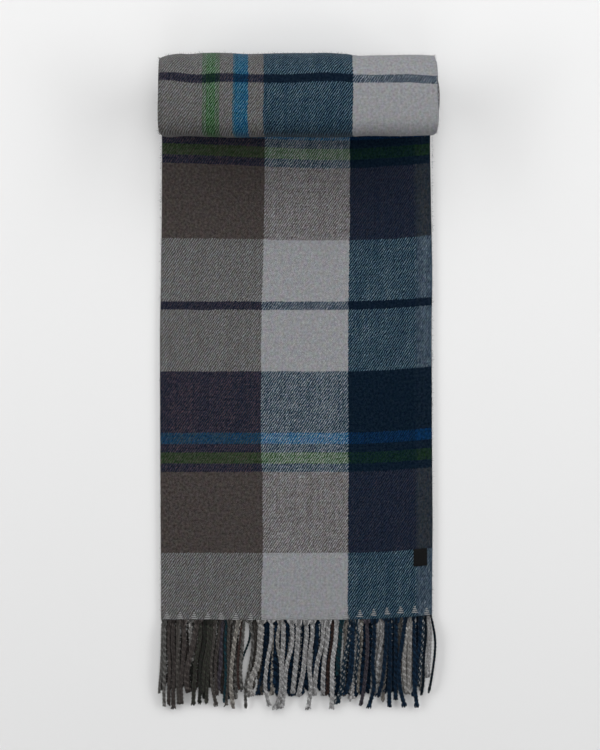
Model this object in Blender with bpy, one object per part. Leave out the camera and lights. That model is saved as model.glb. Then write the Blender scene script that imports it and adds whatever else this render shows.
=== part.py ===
"""A tartan blanket scarf, folded once lengthwise, laid flat and rolled up from its far end.

Metres, +Z up. The surface that it lies on is Z = 0. X runs across the scarf, with the lengthwise
fold on the -X side and the two selvedges on the +X side. Y runs along the warp, with the fringe
at the -Y end and the roll at the +Y end. The origin is the middle of the footprint.

The doubled cloth lies flat from its hem to the line that the roll rests on. From there it turns
up round the far side of the roll and winds inwards as one spiral, so the back half of the cloth
is the roll's outer face, and the front half is wound just inside it.
"""

import math
from collections import namedtuple

import bmesh
import bpy

# ---------------------------------------------------------------------------
# Driving dimensions
# ---------------------------------------------------------------------------

CLOTH = 0.0028  # thickness of the brushed woollen cloth
GAP = 0.0003  # air between two pieces that meet
LAYER = CLOTH + GAP  # one layer of cloth and the air over it
PITCH = 2 * LAYER  # one turn of the doubled cloth

FOLD_X = -0.1800  # lengthwise fold
SELVEDGE_X = 0.1710  # selvedges, one over the other
HEM_Y = -0.3038  # last pick of the weave, where the fringe starts
ROLL_Y = 0.3680  # line on which the roll rests

FOLD_LAP = 0.0020  # how far the fold's bend runs on under the back half
FOLD_STEPS = 8  # facets round the fold's bend

ROLL_RADIUS = 0.0528  # from the roll's axis to the table
ROLL_TURNS = 7  # whole turns of doubled cloth round the middle
TURN_STEPS = 30  # facets round one turn
CORE_LEFT_X = -0.1775  # folded ends of the inner turns
CORE_RIGHT_X = 0.1732  # selvedges of the outer inner turns
CORE_SLIP = 0.0056  # how far the middle turns have slipped out past those
CORE_SLIP_RADIUS = 0.0225  # radius inside which they have slipped
GROOVE = 0.0040  # depth of the grooves between layers at the roll's ends
CORE_HUB = (0.0015, 0.0)  # middle of the spiral, from the roll's axis

BOW = 0.0064  # how far the weft bows towards the roll at the selvedge
BOW_START_X = 0.0400  # where across the scarf the bow starts
BOW_POWER = 2.2  # how late it gathers
BOW_FADE = 0.0600  # length before the roll over which it fades out
BOW_PLACES = (0.0, 0.010, 0.022, 0.038, 0.058, 0.085, 0.125)  # points across it, from the selvedge
FOLD_PLACE = 0.0600  # last point before the fold, from the fold

FRINGE_FLARE = 0.0014  # how far the outer tassels lean out past the cloth

LABEL_WIDTH = 0.0176
LABEL_LENGTH = 0.0226
LABEL_THICK = 0.0008
LABEL_RIGHT_X = 0.1645  # its edge beside the selvedge
LABEL_FROM_HEM = 0.0649  # its lower end, from the hem

# The flat stretch: each row is a section across it. fold_in and selvedge_in are how far its two
# edges stray inwards from their lines.
FlatSection = namedtuple("FlatSection", "from_hem fold_in selvedge_in")
FLAT_SECTIONS = (
    FlatSection(0.0000, 0.0002, 0.0000),
    FlatSection(0.0300, 0.0000, 0.0000),
    FlatSection(0.1170, -0.0004, -0.0006),
    FlatSection(0.2400, -0.0010, 0.0002),
    FlatSection(0.3500, -0.0015, 0.0006),
    FlatSection(0.4380, -0.0001, -0.0002),
    FlatSection(0.5200, 0.0010, 0.0012),
    FlatSection(0.6080, 0.0012, 0.0026),
    FlatSection(0.6715, 0.0010, 0.0020),
)
BACK_SELVEDGE_IN = 0.0012  # the back half's selvedge lies this far inside the front half's

# The roll's girth: how many times wider than its winding radius it has sagged, across the scarf.
Girth = namedtuple("Girth", "x spread")
ROLL_GIRTH = (
    Girth(-0.1800, 0.935),
    Girth(-0.1720, 0.970),
    Girth(-0.1560, 1.045),
    Girth(-0.1200, 1.050),
    Girth(0.0600, 1.050),
    Girth(0.0720, 1.005),
    Girth(0.1200, 1.010),
    Girth(0.1800, 1.015),
)

# The ends of the roll's outer turn, by turn: 0 is on the table, 1 is back over the flat stretch.
WrapEnds = namedtuple("WrapEnds", "turn fold_x selvedge_x")
WRAP_ENDS = (
    WrapEnds(0.00, -0.1795, 0.1695),
    WrapEnds(0.25, -0.1790, 0.1706),
    WrapEnds(0.50, -0.1780, 0.1724),
    WrapEnds(0.60, -0.1786, 0.1736),
    WrapEnds(0.75, -0.1760, 0.1706),
    WrapEnds(1.00, -0.1760, 0.1700),
)

# The relief of the roll's ends across one turn, from outside in: at is the share of the turn,
# and the rest are depths below the shelf, at the selvedge end and at the folded end, in grooves.
EndRelief = namedtuple("EndRelief", "at selvedge fold")
END_RELIEF = (
    EndRelief(0.00, 1.0, 1.00),
    EndRelief(0.06, 0.0, 0.45),
    EndRelief(0.44, 0.0, 0.05),
    EndRelief(0.50, 1.0, 0.00),
    EndRelief(0.56, 0.0, 0.05),
    EndRelief(0.94, 0.0, 0.45),
)
FRONT_HALF_STARTS = 3  # row of END_RELIEF where the front half of the doubled cloth starts

# The fringe: its length below the hem, across the scarf.
Reach = namedtuple("Reach", "x front back")
FRINGE_REACH = (
    Reach(-0.1800, 0.098, 0.092),
    Reach(-0.1660, 0.115, 0.104),
    Reach(-0.1200, 0.110, 0.104),
    Reach(-0.0600, 0.115, 0.100),
    Reach(-0.0300, 0.117, 0.104),
    Reach(0.0200, 0.116, 0.102),
    Reach(0.0600, 0.109, 0.104),
    Reach(0.1200, 0.117, 0.104),
    Reach(0.1550, 0.118, 0.101),
    Reach(0.1710, 0.102, 0.096),
)

# How high the twisted tassels stand, by the share of their length from the hem.
TasselLevel = namedtuple("TasselLevel", "share under top")
FRONT_TASSELS = (
    TasselLevel(0.00, LAYER, LAYER + CLOTH),
    TasselLevel(0.12, 0.0046, 0.0086),
    TasselLevel(0.45, 0.0049, 0.0100),
    TasselLevel(1.00, 0.0049, 0.0092),
)
BACK_TASSELS = (
    TasselLevel(0.00, 0.0, CLOTH),
    TasselLevel(0.12, 0.0, 0.0040),
    TasselLevel(0.45, 0.0, 0.0046),
    TasselLevel(1.00, 0.0, 0.0042),
)

# Finishes: base colour, roughness and sheen.
Finish = namedtuple("Finish", "colour roughness sheen")
CHECKED_WOOL = Finish((0.115, 0.120, 0.130), 0.95, 0.35)
TASSEL_WOOL = Finish((0.070, 0.070, 0.075), 0.95, 0.35)
BLACK_TAPE = Finish((0.010, 0.010, 0.011), 0.75, 0.10)


# ---------------------------------------------------------------------------
# Helpers
# ---------------------------------------------------------------------------


def between(rows, key, value, wanted):
    """The wanted column of a table at a value of its key column, in straight steps."""
    previous = rows[0]
    for row in rows:
        if getattr(row, key) >= value:
            start, end = getattr(previous, key), getattr(row, key)
            share = 1.0 if end == start else (value - start) / (end - start)
            first, last = getattr(previous, wanted), getattr(row, wanted)
            return first + max(share, 0.0) * (last - first)
        previous = row
    return getattr(rows[-1], wanted)


def weft_bow(x, from_hem):
    """How far the weft has bowed towards the roll at a point of the flat stretch."""
    late = max(0.0, x - BOW_START_X) / (SELVEDGE_X - BOW_START_X)
    room = FLAT_SECTIONS[-1].from_hem - from_hem
    return BOW * late**BOW_POWER * min(1.0, room / BOW_FADE)


def wool(name, finish):
    """A material with one Principled shader."""
    material = bpy.data.materials.new(name)
    material.use_nodes = True
    shader = material.node_tree.nodes["Principled BSDF"]
    shader.inputs["Base Color"].default_value = (*finish.colour, 1.0)
    shader.inputs["Roughness"].default_value = finish.roughness
    shader.inputs["Metallic"].default_value = 0.0
    shader.inputs["Sheen Weight"].default_value = finish.sheen
    material.diffuse_color = (*finish.colour, 1.0)
    return material


def add_body(name, points, faces, finish):
    """One closed body from points and faces, its faces pointing out, with its own material."""
    mesh = bpy.data.meshes.new(name)
    mesh.from_pydata(points, [], faces)
    shell = bmesh.new()
    shell.from_mesh(mesh)
    bmesh.ops.recalc_face_normals(shell, faces=shell.faces)
    shell.to_mesh(mesh)
    shell.free()
    mesh.materials.append(wool(name, finish))
    mesh.shade_smooth()
    mesh.set_sharp_from_angle(angle=math.radians(40))
    body = bpy.data.objects.new(name, mesh)
    bpy.context.scene.collection.objects.link(body)
    return body


def add_wall(name, sections, finish):
    """A wall of cloth: each section is a row of (outer, inner) points, one pair per place."""
    count = len(sections[0])
    points = []
    for section in sections:
        for outer, inner in section:
            points.append(outer)
            points.append(inner)

    def at(row, place, side):
        return 2 * (row * count + place) + side

    faces = []
    for row in range(len(sections) - 1):
        for place in range(count - 1):
            for side in (0, 1):
                ring = [
                    at(row, place, side),
                    at(row + 1, place, side),
                    at(row + 1, place + 1, side),
                    at(row, place + 1, side),
                ]
                faces.append(ring if side else ring[::-1])
        for place in (0, count - 1):
            edge = [at(row, place, 0), at(row, place, 1), at(row + 1, place, 1), at(row + 1, place, 0)]
            faces.append(edge)
    for row in (0, len(sections) - 1):
        for place in range(count - 1):
            end = [at(row, place, 0), at(row, place + 1, 0), at(row, place + 1, 1), at(row, place, 1)]
            faces.append(end)
    return add_body(name, points, faces, finish)


# ---------------------------------------------------------------------------
# The flat stretch: front half with the fold, back half under it
# ---------------------------------------------------------------------------

def flat_places(fold_x, selvedge_x):
    """Places across the flat stretch, closest together where the weft bows."""
    return [selvedge_x - step for step in BOW_PLACES] + [0.0, fold_x + FOLD_PLACE]


def build_upper_layer():
    """The front half, from its selvedge to the fold and round the bend to the back half."""
    bend = (LAYER + CLOTH) / 2
    hollow = GAP / 2
    sections = []
    for row in FLAT_SECTIONS:
        y = HEM_Y + row.from_hem
        fold_x = FOLD_X + row.fold_in
        selvedge_x = SELVEDGE_X - row.selvedge_in
        section = []
        for x in flat_places(fold_x, selvedge_x):
            bowed = y + weft_bow(x, row.from_hem)
            section.append(((x, bowed, LAYER + CLOTH), (x, bowed, LAYER)))
        axis_x = fold_x + bend
        for step in range(FOLD_STEPS + 1):
            angle = math.pi * step / FOLD_STEPS
            across, up = -math.sin(angle), math.cos(angle)
            outer = (axis_x + bend * across, y, bend + bend * up)
            inner = (axis_x + hollow * across, y, bend + hollow * up)
            section.append((outer, inner))
        lap_x = axis_x + FOLD_LAP
        section.append(((lap_x, y, 0.0), (lap_x, y, CLOTH)))
        sections.append(section)
    return add_wall("upper_layer", sections, CHECKED_WOOL)


def build_lower_layer():
    """The back half, flat on the table from the end of the fold's bend to its own selvedge."""
    bend = (LAYER + CLOTH) / 2
    sections = []
    for row in FLAT_SECTIONS:
        y = HEM_Y + row.from_hem
        lap_x = FOLD_X + row.fold_in + bend + FOLD_LAP + GAP
        selvedge_x = SELVEDGE_X - row.selvedge_in - BACK_SELVEDGE_IN
        section = []
        for x in flat_places(FOLD_X, selvedge_x) + [lap_x]:
            bowed = y + weft_bow(x, row.from_hem)
            section.append(((x, bowed, CLOTH), (x, bowed, 0.0)))
        sections.append(section)
    return add_wall("lower_layer", sections, CHECKED_WOOL)


# ---------------------------------------------------------------------------
# The roll: its outer turn, and the hidden turns as one body layered at the ends
# ---------------------------------------------------------------------------


def winding_radius(turn):
    """Outside radius of the doubled cloth after a number of turns from the table."""
    return ROLL_RADIUS - PITCH * turn


def roll_point(turn, radius, x, girth_x):
    """A point of the roll, at a turn from the table round the far side and a radius."""
    angle = math.tau * turn - math.pi / 2
    spread = between(ROLL_GIRTH, "x", girth_x, "spread")
    y = ROLL_Y + spread * radius * math.cos(angle)
    z = ROLL_RADIUS + radius * math.sin(angle)
    return (x, y, z)


def build_roll_wrap():
    """The back half of the cloth over the roll's outermost turn."""
    clear = GAP / (math.tau * winding_radius(1.0))
    sections = []
    for step in range(TURN_STEPS + 1):
        turn = min(step / TURN_STEPS, 1.0 - clear)
        fold_x = between(WRAP_ENDS, "turn", turn, "fold_x")
        selvedge_x = between(WRAP_ENDS, "turn", turn, "selvedge_x")
        inside = [row.x for row in ROLL_GIRTH[1:-1]]
        section = []
        for x in [fold_x, *inside, selvedge_x]:
            outer = roll_point(turn, winding_radius(turn), x, x)
            inner = roll_point(turn, winding_radius(turn) - CLOTH, x, x)
            section.append((outer, inner))
        sections.append(section)
    return add_wall("roll_wrap", sections, CHECKED_WOOL)


def build_roll_core():
    """The hidden turns as one rounded body, with the edge of each layer shown at its ends."""
    last = ROLL_TURNS * TURN_STEPS
    rows = len(END_RELIEF)
    points = []
    index = {}

    def slipped(radius):
        share = min(1.0, max(0.0, (CORE_SLIP_RADIUS - radius) / (2 * PITCH) + 0.5))
        return CORE_SLIP * share * share * (3 - 2 * share)

    def end_point(side, step, row):
        if row == rows:
            return end_point(side, step + TURN_STEPS, 0)
        key = (side, step, row)
        if key not in index:
            turn = step / TURN_STEPS
            relief = END_RELIEF[row]
            radius = winding_radius(turn) - PITCH * relief.at
            if side == "selvedge":
                x = CORE_RIGHT_X + slipped(radius) - GROOVE * relief.selvedge
                girth_x = ROLL_GIRTH[-1].x
            else:
                x = CORE_LEFT_X + GROOVE * relief.fold
                girth_x = ROLL_GIRTH[0].x
            index[key] = len(points)
            points.append(roll_point(turn, radius, x, girth_x))
        return index[key]

    def wall_point(step, row, x):
        key = (x, step, row)
        if key not in index:
            turn = step / TURN_STEPS
            radius = winding_radius(turn) - PITCH * END_RELIEF[row].at
            index[key] = len(points)
            points.append(roll_point(turn, radius, x, x))
        return index[key]

    faces = []
    for side in ("selvedge", "fold"):
        for step in range(last):
            start = FRONT_HALF_STARTS if step < TURN_STEPS else 0
            for row in range(start, rows):
                ring = [
                    end_point(side, step, row),
                    end_point(side, step, row + 1),
                    end_point(side, step + 1, row + 1),
                    end_point(side, step + 1, row),
                ]
                faces.append(ring if side == "selvedge" else ring[::-1])
        middle = [end_point(side, last + step, 0) for step in range(TURN_STEPS + 1)]
        middle += [end_point(side, last, row) for row in range(rows - 1, 0, -1)]
        hub = len(points)
        hub_x = CORE_RIGHT_X if side == "selvedge" else CORE_LEFT_X
        points.append((hub_x, ROLL_Y + CORE_HUB[0], ROLL_RADIUS + CORE_HUB[1]))
        for place, corner in enumerate(middle):
            ring = [hub, corner, middle[(place + 1) % len(middle)]]
            faces.append(ring if side == "selvedge" else ring[::-1])

    outline = [(step, FRONT_HALF_STARTS) for step in range(TURN_STEPS + 1)]
    outline += [(TURN_STEPS, row) for row in range(FRONT_HALF_STARTS - 1, -1, -1)]
    outline += [(0, row) for row in range(rows - 1, FRONT_HALF_STARTS, -1)]
    columns = [[end_point("fold", step, row) for step, row in outline]]
    for girth in ROLL_GIRTH[1:-1]:
        columns.append([wall_point(step, row, girth.x) for step, row in outline])
    columns.append([end_point("selvedge", step, row) for step, row in outline])
    for near, far in zip(columns, columns[1:]):
        for place in range(len(outline)):
            after = (place + 1) % len(outline)
            faces.append([near[place], near[after], far[after], far[place]])
    return add_body("roll_core", points, faces, CHECKED_WOOL)


# ---------------------------------------------------------------------------
# The fringe: plain bodies of the tassels' reach
# ---------------------------------------------------------------------------


def build_fringe(name, reach_column, levels, selvedge_x):
    """The reach of one half's tassels, from just past its hem to their cut ends."""
    places = [x for x in flat_places(FOLD_X, selvedge_x) if x >= 0]
    places += [row.x for row in reversed(FRINGE_REACH) if row.x < 0]
    sections = []
    for level in levels:
        section = []
        for hem_x in places:
            share = (hem_x - FOLD_X) / (selvedge_x - FOLD_X)
            lean = FRINGE_FLARE * level.share * (2 * share - 1) ** 3
            reach = between(FRINGE_REACH, "x", hem_x, reach_column)
            length = GAP + level.share * (reach - GAP)
            y = HEM_Y + weft_bow(hem_x, 0.0) - length
            x = hem_x + lean
            section.append(((x, y, level.top), (x, y, level.under)))
        sections.append(section)
    return add_wall(name, sections, TASSEL_WOOL)


# ---------------------------------------------------------------------------
# The label: a tab on the front half, made from that half's own surface
# ---------------------------------------------------------------------------


def build_label():
    """The woven tab, lying on the front half beside its selvedge."""
    under = LAYER + CLOTH + GAP
    sections = []
    for share in (0.0, 0.5, 1.0):
        from_hem = LABEL_FROM_HEM + share * LABEL_LENGTH
        section = []
        for x in (LABEL_RIGHT_X, LABEL_RIGHT_X - LABEL_WIDTH / 2, LABEL_RIGHT_X - LABEL_WIDTH):
            y = HEM_Y + from_hem + weft_bow(x, from_hem)
            section.append(((x, y, under + LABEL_THICK), (x, y, under)))
        sections.append(section)
    return add_wall("label", sections, BLACK_TAPE)


# ---------------------------------------------------------------------------
# Build
# ---------------------------------------------------------------------------

for leftover in list(bpy.data.objects):
    bpy.data.objects.remove(leftover, do_unlink=True)

build_upper_layer()
build_lower_layer()
build_roll_wrap()
build_roll_core()
build_fringe("fringe_upper", "front", FRONT_TASSELS, SELVEDGE_X)
build_fringe("fringe_lower", "back", BACK_TASSELS, SELVEDGE_X - BACK_SELVEDGE_IN)
build_label()
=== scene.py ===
import math
import random
from collections import namedtuple

import bpy
import numpy as np
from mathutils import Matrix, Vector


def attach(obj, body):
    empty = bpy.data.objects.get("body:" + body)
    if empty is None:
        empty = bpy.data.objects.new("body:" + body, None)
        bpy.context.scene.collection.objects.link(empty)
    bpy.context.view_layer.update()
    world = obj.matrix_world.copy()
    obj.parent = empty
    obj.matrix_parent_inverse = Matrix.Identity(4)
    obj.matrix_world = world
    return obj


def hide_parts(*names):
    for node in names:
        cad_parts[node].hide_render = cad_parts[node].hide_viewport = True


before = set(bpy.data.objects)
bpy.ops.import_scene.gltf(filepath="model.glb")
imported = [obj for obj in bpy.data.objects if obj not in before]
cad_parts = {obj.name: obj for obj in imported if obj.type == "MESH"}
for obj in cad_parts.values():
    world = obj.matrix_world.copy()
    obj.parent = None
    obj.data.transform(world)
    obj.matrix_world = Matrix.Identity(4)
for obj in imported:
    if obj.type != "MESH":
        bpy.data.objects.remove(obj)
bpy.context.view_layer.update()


# ---------------------------------------------------------------------------
# The table, the light and the camera
# A plain pale table top under a soft overhead panel. Broad lights stand to the left, the right,
# the far side and the near side, and the camera hangs straight over the scarf.
# ---------------------------------------------------------------------------

class Lead:
    """One output of a node, which takes part in sums and products as a number does."""

    def __init__(self, loom, socket):
        self.loom = loom
        self.socket = socket

    def other(self, name):
        """Another output of the same node."""
        return Lead(self.loom, self.socket.node.outputs[name])

    def sum_of(self, operation, *terms):
        """A Math node on these numbers and leads."""
        return self.loom.node("ShaderNodeMath", {"operation": operation}, terms)

    def __add__(self, term):
        return self.sum_of("ADD", self, term)

    __radd__ = __add__

    def __sub__(self, term):
        return self.sum_of("SUBTRACT", self, term)

    def __rsub__(self, term):
        return self.sum_of("SUBTRACT", term, self)

    def __mul__(self, term):
        return self.sum_of("MULTIPLY", self, term)

    __rmul__ = __mul__

    def __truediv__(self, term):
        return self.sum_of("DIVIDE", self, term)

    def __gt__(self, term):
        return self.sum_of("GREATER_THAN", self, term)

    def __lt__(self, term):
        return self.sum_of("LESS_THAN", self, term)

    def __mod__(self, term):
        return self.sum_of("FLOORED_MODULO", self, term)

    def __pow__(self, term):
        return self.sum_of("POWER", self, term)

    def __abs__(self):
        return self.sum_of("ABSOLUTE", self)

    def wave(self):
        """Its cosine, counted in whole waves."""
        return self.sum_of("COSINE", self * math.tau)

    def floor(self):
        return self.sum_of("FLOOR", self)

    def held(self, low=0.0, high=1.0):
        """The same number, held between two others."""
        return self.sum_of("MAXIMUM", self.sum_of("MINIMUM", self, high), low)


Chart = namedtuple("Chart", "colour cover red green blue")


class Loom:
    """A node tree, and the one way in which nodes are put into it."""

    def __init__(self, tree):
        self.tree = tree

    def node(self, kind, settings=None, sockets=(), output=0):
        """Adds a node: its settings first, then the values or the leads of its sockets."""
        made = self.tree.nodes.new(kind)
        for name, value in (settings or {}).items():
            if name == "stops":
                place_stops(made.color_ramp, value)
            else:
                setattr(made, name, value)
        self.fill(made, sockets)
        return Lead(self, made.outputs[output]) if len(made.outputs) else made

    def fill(self, made, sockets):
        """Gives the sockets of a node their values or their leads."""
        given = sockets.items() if isinstance(sockets, dict) else enumerate(sockets)
        for name, value in given:
            if isinstance(value, Lead):
                self.tree.links.new(value.socket, made.inputs[name])
            else:
                made.inputs[name].default_value = value

    def blend(self, share, first, second):
        """A Mix node on two colours."""
        return self.node("ShaderNodeMix", {"data_type": "RGBA"}, {0: share, 6: first, 7: second}, 2)

    def vector(self, operation, *terms):
        """A Vector Math node."""
        return self.node("ShaderNodeVectorMath", {"operation": operation}, terms)

    def scaled(self, colour, times):
        """A colour or a vector, times a number."""
        return self.node("ShaderNodeVectorMath", {"operation": "SCALE"}, {0: colour, "Scale": times})

    def bump(self, strength, distance, height):
        sockets = {"Strength": strength, "Distance": distance, "Height": height}
        return self.node("ShaderNodeBump", None, sockets)

    def split(self, place):
        """The two places of a point on a map."""
        parts = self.node("ShaderNodeSeparateXYZ", None, [place])
        return parts.other("X"), parts.other("Y")

    def join(self, x, y, z):
        return self.node("ShaderNodeCombineXYZ", None, [x, y, z])

    def chart(self, stops, place):
        """A colour ramp whose stops are numbers on a chart: its colour, its cover and its parts."""
        colour = self.node("ShaderNodeValToRGB", {"stops": stops}, [place])
        parts = self.node("ShaderNodeSeparateColor", None, [colour])
        shares = [parts.other(name) for name in ("Red", "Green", "Blue")]
        return Chart(colour, colour.other("Alpha"), *shares)

    def noise(self, place, stretch, detail=1.0):
        """Plain noise, from 0 to 1, with so many grains a metre along each direction."""
        spots = self.vector("MULTIPLY", place, (*stretch, 1.0))
        sockets = {"Vector": spots, "Scale": 1.0, "Detail": detail, "Roughness": 0.55}
        return self.node("ShaderNodeTexNoise", {"noise_dimensions": "2D"}, sockets)


def place_stops(ramp, stops):
    """Puts the stops on a colour ramp whose colours don't run into each other."""
    ramp.interpolation = "CONSTANT"
    ramp.elements.remove(ramp.elements[-1])
    ramp.elements[0].position = stops[0][0]
    ramp.elements[0].color = stops[0][1]
    for place, colour in stops[1:]:
        ramp.elements.new(place).color = colour


def new_finish(name):
    """A material, the loom of its tree and its shader."""
    finish = bpy.data.materials.new(name)
    finish.use_nodes = True
    return finish, Loom(finish.node_tree), finish.node_tree.nodes["Principled BSDF"]


def put_down(name, data):
    """A new object in the scene, at the origin."""
    thing = bpy.data.objects.new(name, data)
    bpy.context.scene.collection.objects.link(thing)
    return thing


def rows_of(kind, *rows):
    """The rows of a table, each with its columns named."""
    return [kind(*row) for row in rows]


TABLE_SIZE = 60.0
TABLE_TOP = -0.0002
TABLE_WHITE = (0.820, 0.820, 0.820, 1.0)
TABLE_LIGHT = 0.829  # brightness of the lit table
DOME_SHARE = 0.08
# Soft panels round the table, turned to its middle: the heading and the height at which each
# stands, how far off it is, its width and its depth, and its share of the table's light.
Panel = namedtuple("Panel", "name heading height reach width depth share")
PANELS = rows_of(
    Panel,
    ("left_panel", 165.0, 30.0, 3.0, 4.6, 1.3, 0.360),
    ("right_panel", 15.0, 30.0, 3.0, 4.6, 1.3, 0.360),
    ("far_panel", 87.0, 35.0, 2.6, 1.3, 1.3, 0.134),
    ("overhead_panel", 60.0, 83.0, 3.2, 1.6, 1.6, 0.204),
)
# A soft light from the near side, so far off that it shines evenly.
NEAR_HEIGHT = 40.0
NEAR_SPREAD = 40.0
NEAR_SHARE = 0.086
CAMERA_HEIGHT = 3.0
CAMERA_Y = 0.01305
CAMERA_LENS = 111.1

half = TABLE_SIZE / 2
table_mesh = bpy.data.meshes.new("table_top")
table_corners = [(-half, -half), (half, -half), (half, half), (-half, half)]
table_mesh.from_pydata([(x, y, TABLE_TOP) for x, y in table_corners], [], [(0, 1, 2, 3)])
table_top = put_down("table_top", table_mesh)
table_finish, table_loom, table_shader = new_finish("table_white")
table_loom.fill(table_shader, {"Base Color": TABLE_WHITE, "Roughness": 0.9, "Specular IOR Level": 0.1})
table_mesh.materials.append(table_finish)

table_glow = TABLE_LIGHT / TABLE_WHITE[0]  # what a white dome would need to be
dome = bpy.data.worlds.new("dome")
dome.use_nodes = True
dome.node_tree.nodes["Background"].inputs["Color"].default_value = (1.0, 1.0, 1.0, 1.0)
dome.node_tree.nodes["Background"].inputs["Strength"].default_value = table_glow * DOME_SHARE
bpy.context.scene.world = dome

for row in PANELS:
    light = bpy.data.lights.new(row.name, "AREA")
    light.shape = "RECTANGLE"
    light.size = row.width
    light.size_y = row.depth
    heading = math.radians(row.heading)
    height = math.radians(row.height)
    light.energy = math.pi**2 * table_glow * row.share * row.reach**2 / math.sin(height)
    panel = put_down(row.name, light)
    level = math.cos(height)
    toward = Vector((level * math.cos(heading), level * math.sin(heading), math.sin(height)))
    panel.location = toward * row.reach
    panel.rotation_euler = (-panel.location).to_track_quat("-Z", "Y").to_euler()
    panel.visible_camera = False

near_light = bpy.data.lights.new("near_light", "SUN")
near_light.angle = math.radians(NEAR_SPREAD)
near_light.energy = math.pi * table_glow * NEAR_SHARE / math.sin(math.radians(NEAR_HEIGHT))
near_lamp = put_down("near_light", near_light)
near_lamp.rotation_euler = (math.radians(90.0 - NEAR_HEIGHT), 0.0, 0.0)

camera_data = bpy.data.cameras.new("overhead")
camera_data.lens = CAMERA_LENS
camera_data.sensor_width = 36.0
camera_data.clip_end = 20.0
camera = put_down("overhead", camera_data)
camera.location = (0.0, CAMERA_Y, CAMERA_HEIGHT)
bpy.context.scene.camera = camera
bpy.context.scene.view_settings.view_transform = "Standard"


# ---------------------------------------------------------------------------
# The checked cloth, and its front half with the lengthwise fold
# A soft woollen cloth in a two-and-two twill, brushed on both faces. It is dyed in the yarn and
# woven in five colours. The front half lies uppermost and turns under along the left side.
# ---------------------------------------------------------------------------

CLOTH = 0.0028  # thickness of the brushed cloth
GAP = 0.0003
LAYER = CLOTH + GAP
BEND = LAYER / 2  # radius of the fold, in the middle of the cloth
TURN_UNDER = BEND * math.pi / 2  # cloth in a quarter of the fold
FOLD_LAP = 0.0020  # how far the front half runs on under itself past the fold

HALF_WIDTH = 0.351
FLAT_LENGTH = 0.6715
HEM_Y = -0.3038
ROLL_Y = 0.3680  # line on which the roll rests

END_PITCH = 0.00079  # from one warp thread to the next
PICK_PITCH = 0.00118  # from one weft thread to the next
TWILL = 4  # threads in the twill's repeat
WARP_SHARE = 0.599  # how much of the face is warp
TWILL_DEPTH = 0.393  # how clearly the twill tells the two yarns apart
TWILL_PEAK = 1.76  # how much narrower its ridges are than its grooves
TWILL_WAVE = 0.5 + 0.5 * np.cos(np.linspace(0, math.tau, 721)[:-1])
TWILL_MEAN = float(np.mean(TWILL_WAVE**TWILL_PEAK)) * 2 - 1
DENSEST = 8.0  # depth of dye that counts as 1 on the charts

# Yarn colours, as the brushed yarn shows them, and how far each yarn hides the other.
Dye = namedtuple("Dye", "red green blue cover")
DYES = {
    "brown": Dye(0.0508, 0.0430, 0.0405, -0.012),
    "grey": Dye(0.2430, 0.2470, 0.2590, -0.003),
    # The four grey dyes below are the grey yarn with ever less cover, so more of the dark warp shows
    # towards the roll's near edge: painted shade where the roll turns away from the light, and partly the
    # navy showing more strongly there.
    "grey_1": Dye(0.2430, 0.2470, 0.2590, -0.028),
    "grey_2": Dye(0.2430, 0.2470, 0.2590, -0.045),
    "grey_3": Dye(0.2430, 0.2470, 0.2590, -0.065),
    "grey_4": Dye(0.2430, 0.2470, 0.2590, -0.095),
    "navy": Dye(0.0022, 0.0083, 0.0176, 0.032),
    "navy_1": Dye(0.0028, 0.0080, 0.0176, 0.075),
    "green": Dye(0.0070, 0.0310, 0.0060, -0.046),
    "blue": Dye(0.0008, 0.0245, 0.0800, 0.054),
    "azure": Dye(0.0006, 0.0260, 0.1080, 0.054),
    "strip": Dye(0.0070, 0.0125, 0.0225, -0.125),
}

# The warp across the whole cloth, from the fold: each run starts at its place, and two dyes named
# together are yarns mixed end by end.
BROWN_ENDS = 0.1310
GREY_ENDS = 0.2440
STRIP_STARTS = 0.3305
STRIP_BLENDS = 0.0035  # width over which navy gives way to the strip
Run = namedtuple("Run", "starts dye")
WARP_RUNS = rows_of(
    Run,
    (-0.3510, "grey"),
    (-0.2450, "navy"),
    (-0.1323, "brown"),
    (-0.1142, "brown blue"),
    (-0.1128, "blue blue blue blue blue brown"),
    (-0.0962, "brown blue"),
    (-0.0945, "brown"),
    (-0.0778, "brown green"),
    (-0.0728, "green"),
    (-0.0612, "brown green"),
    (-0.0573, "brown"),
    (BROWN_ENDS, "grey"),
    (GREY_ENDS, "navy"),
    (STRIP_STARTS - STRIP_BLENDS, "navy strip"),
    (STRIP_STARTS, "strip"),
)
# The weft along the cloth, from the hem. From REPEAT_STARTS on it repeats.
WEFT_RUNS = rows_of(
    Run,
    (0.0000, "grey"),
    (0.0862, "brown"),
    (0.1908, "navy"),
    (0.2001, "green"),
    (0.2166, "navy"),
    (0.2258, "azure"),
    (0.2395, "navy"),
    (0.3213, "grey"),
    (0.4008, "navy_1"),
    (0.4116, "grey"),
    (0.4898, "brown"),
    (0.5845, "navy"),
    (0.5948, "green"),
    (0.6073, "navy"),
    (0.6182, "azure"),
    (0.6310, "navy"),
    (0.7140, "grey"),
    (0.7960, "navy_1"),
    (0.8080, "grey"),
    # On the roll's near shoulder the grey weft lets ever more warp show towards the near edge, as painted
    # shade where the roll turns away from the light.
    (0.8250, "grey_1"),
    (0.8420, "grey_2"),
    (0.8560, "grey_3"),
    (0.8680, "grey_4"),
)
REPEAT_STARTS = 0.4898
REPEAT_ENDS = 0.9250


def density(name):
    """How deep a dye is in each colour, with its cover in the fourth place. Brushed yarns blend in
    the measure of their depths."""
    dyes = [DYES[part] for part in name.split()]
    depths = [sum(-math.log(dye[i]) for dye in dyes) / len(dyes) / DENSEST for i in range(3)]
    return (*depths, 0.5 + sum(dye.cover for dye in dyes) / len(dyes))


# The depths of red in brown and in navy yarn, added.
BROWN_NAVY = density("brown")[0] + density("navy")[0]


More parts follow.
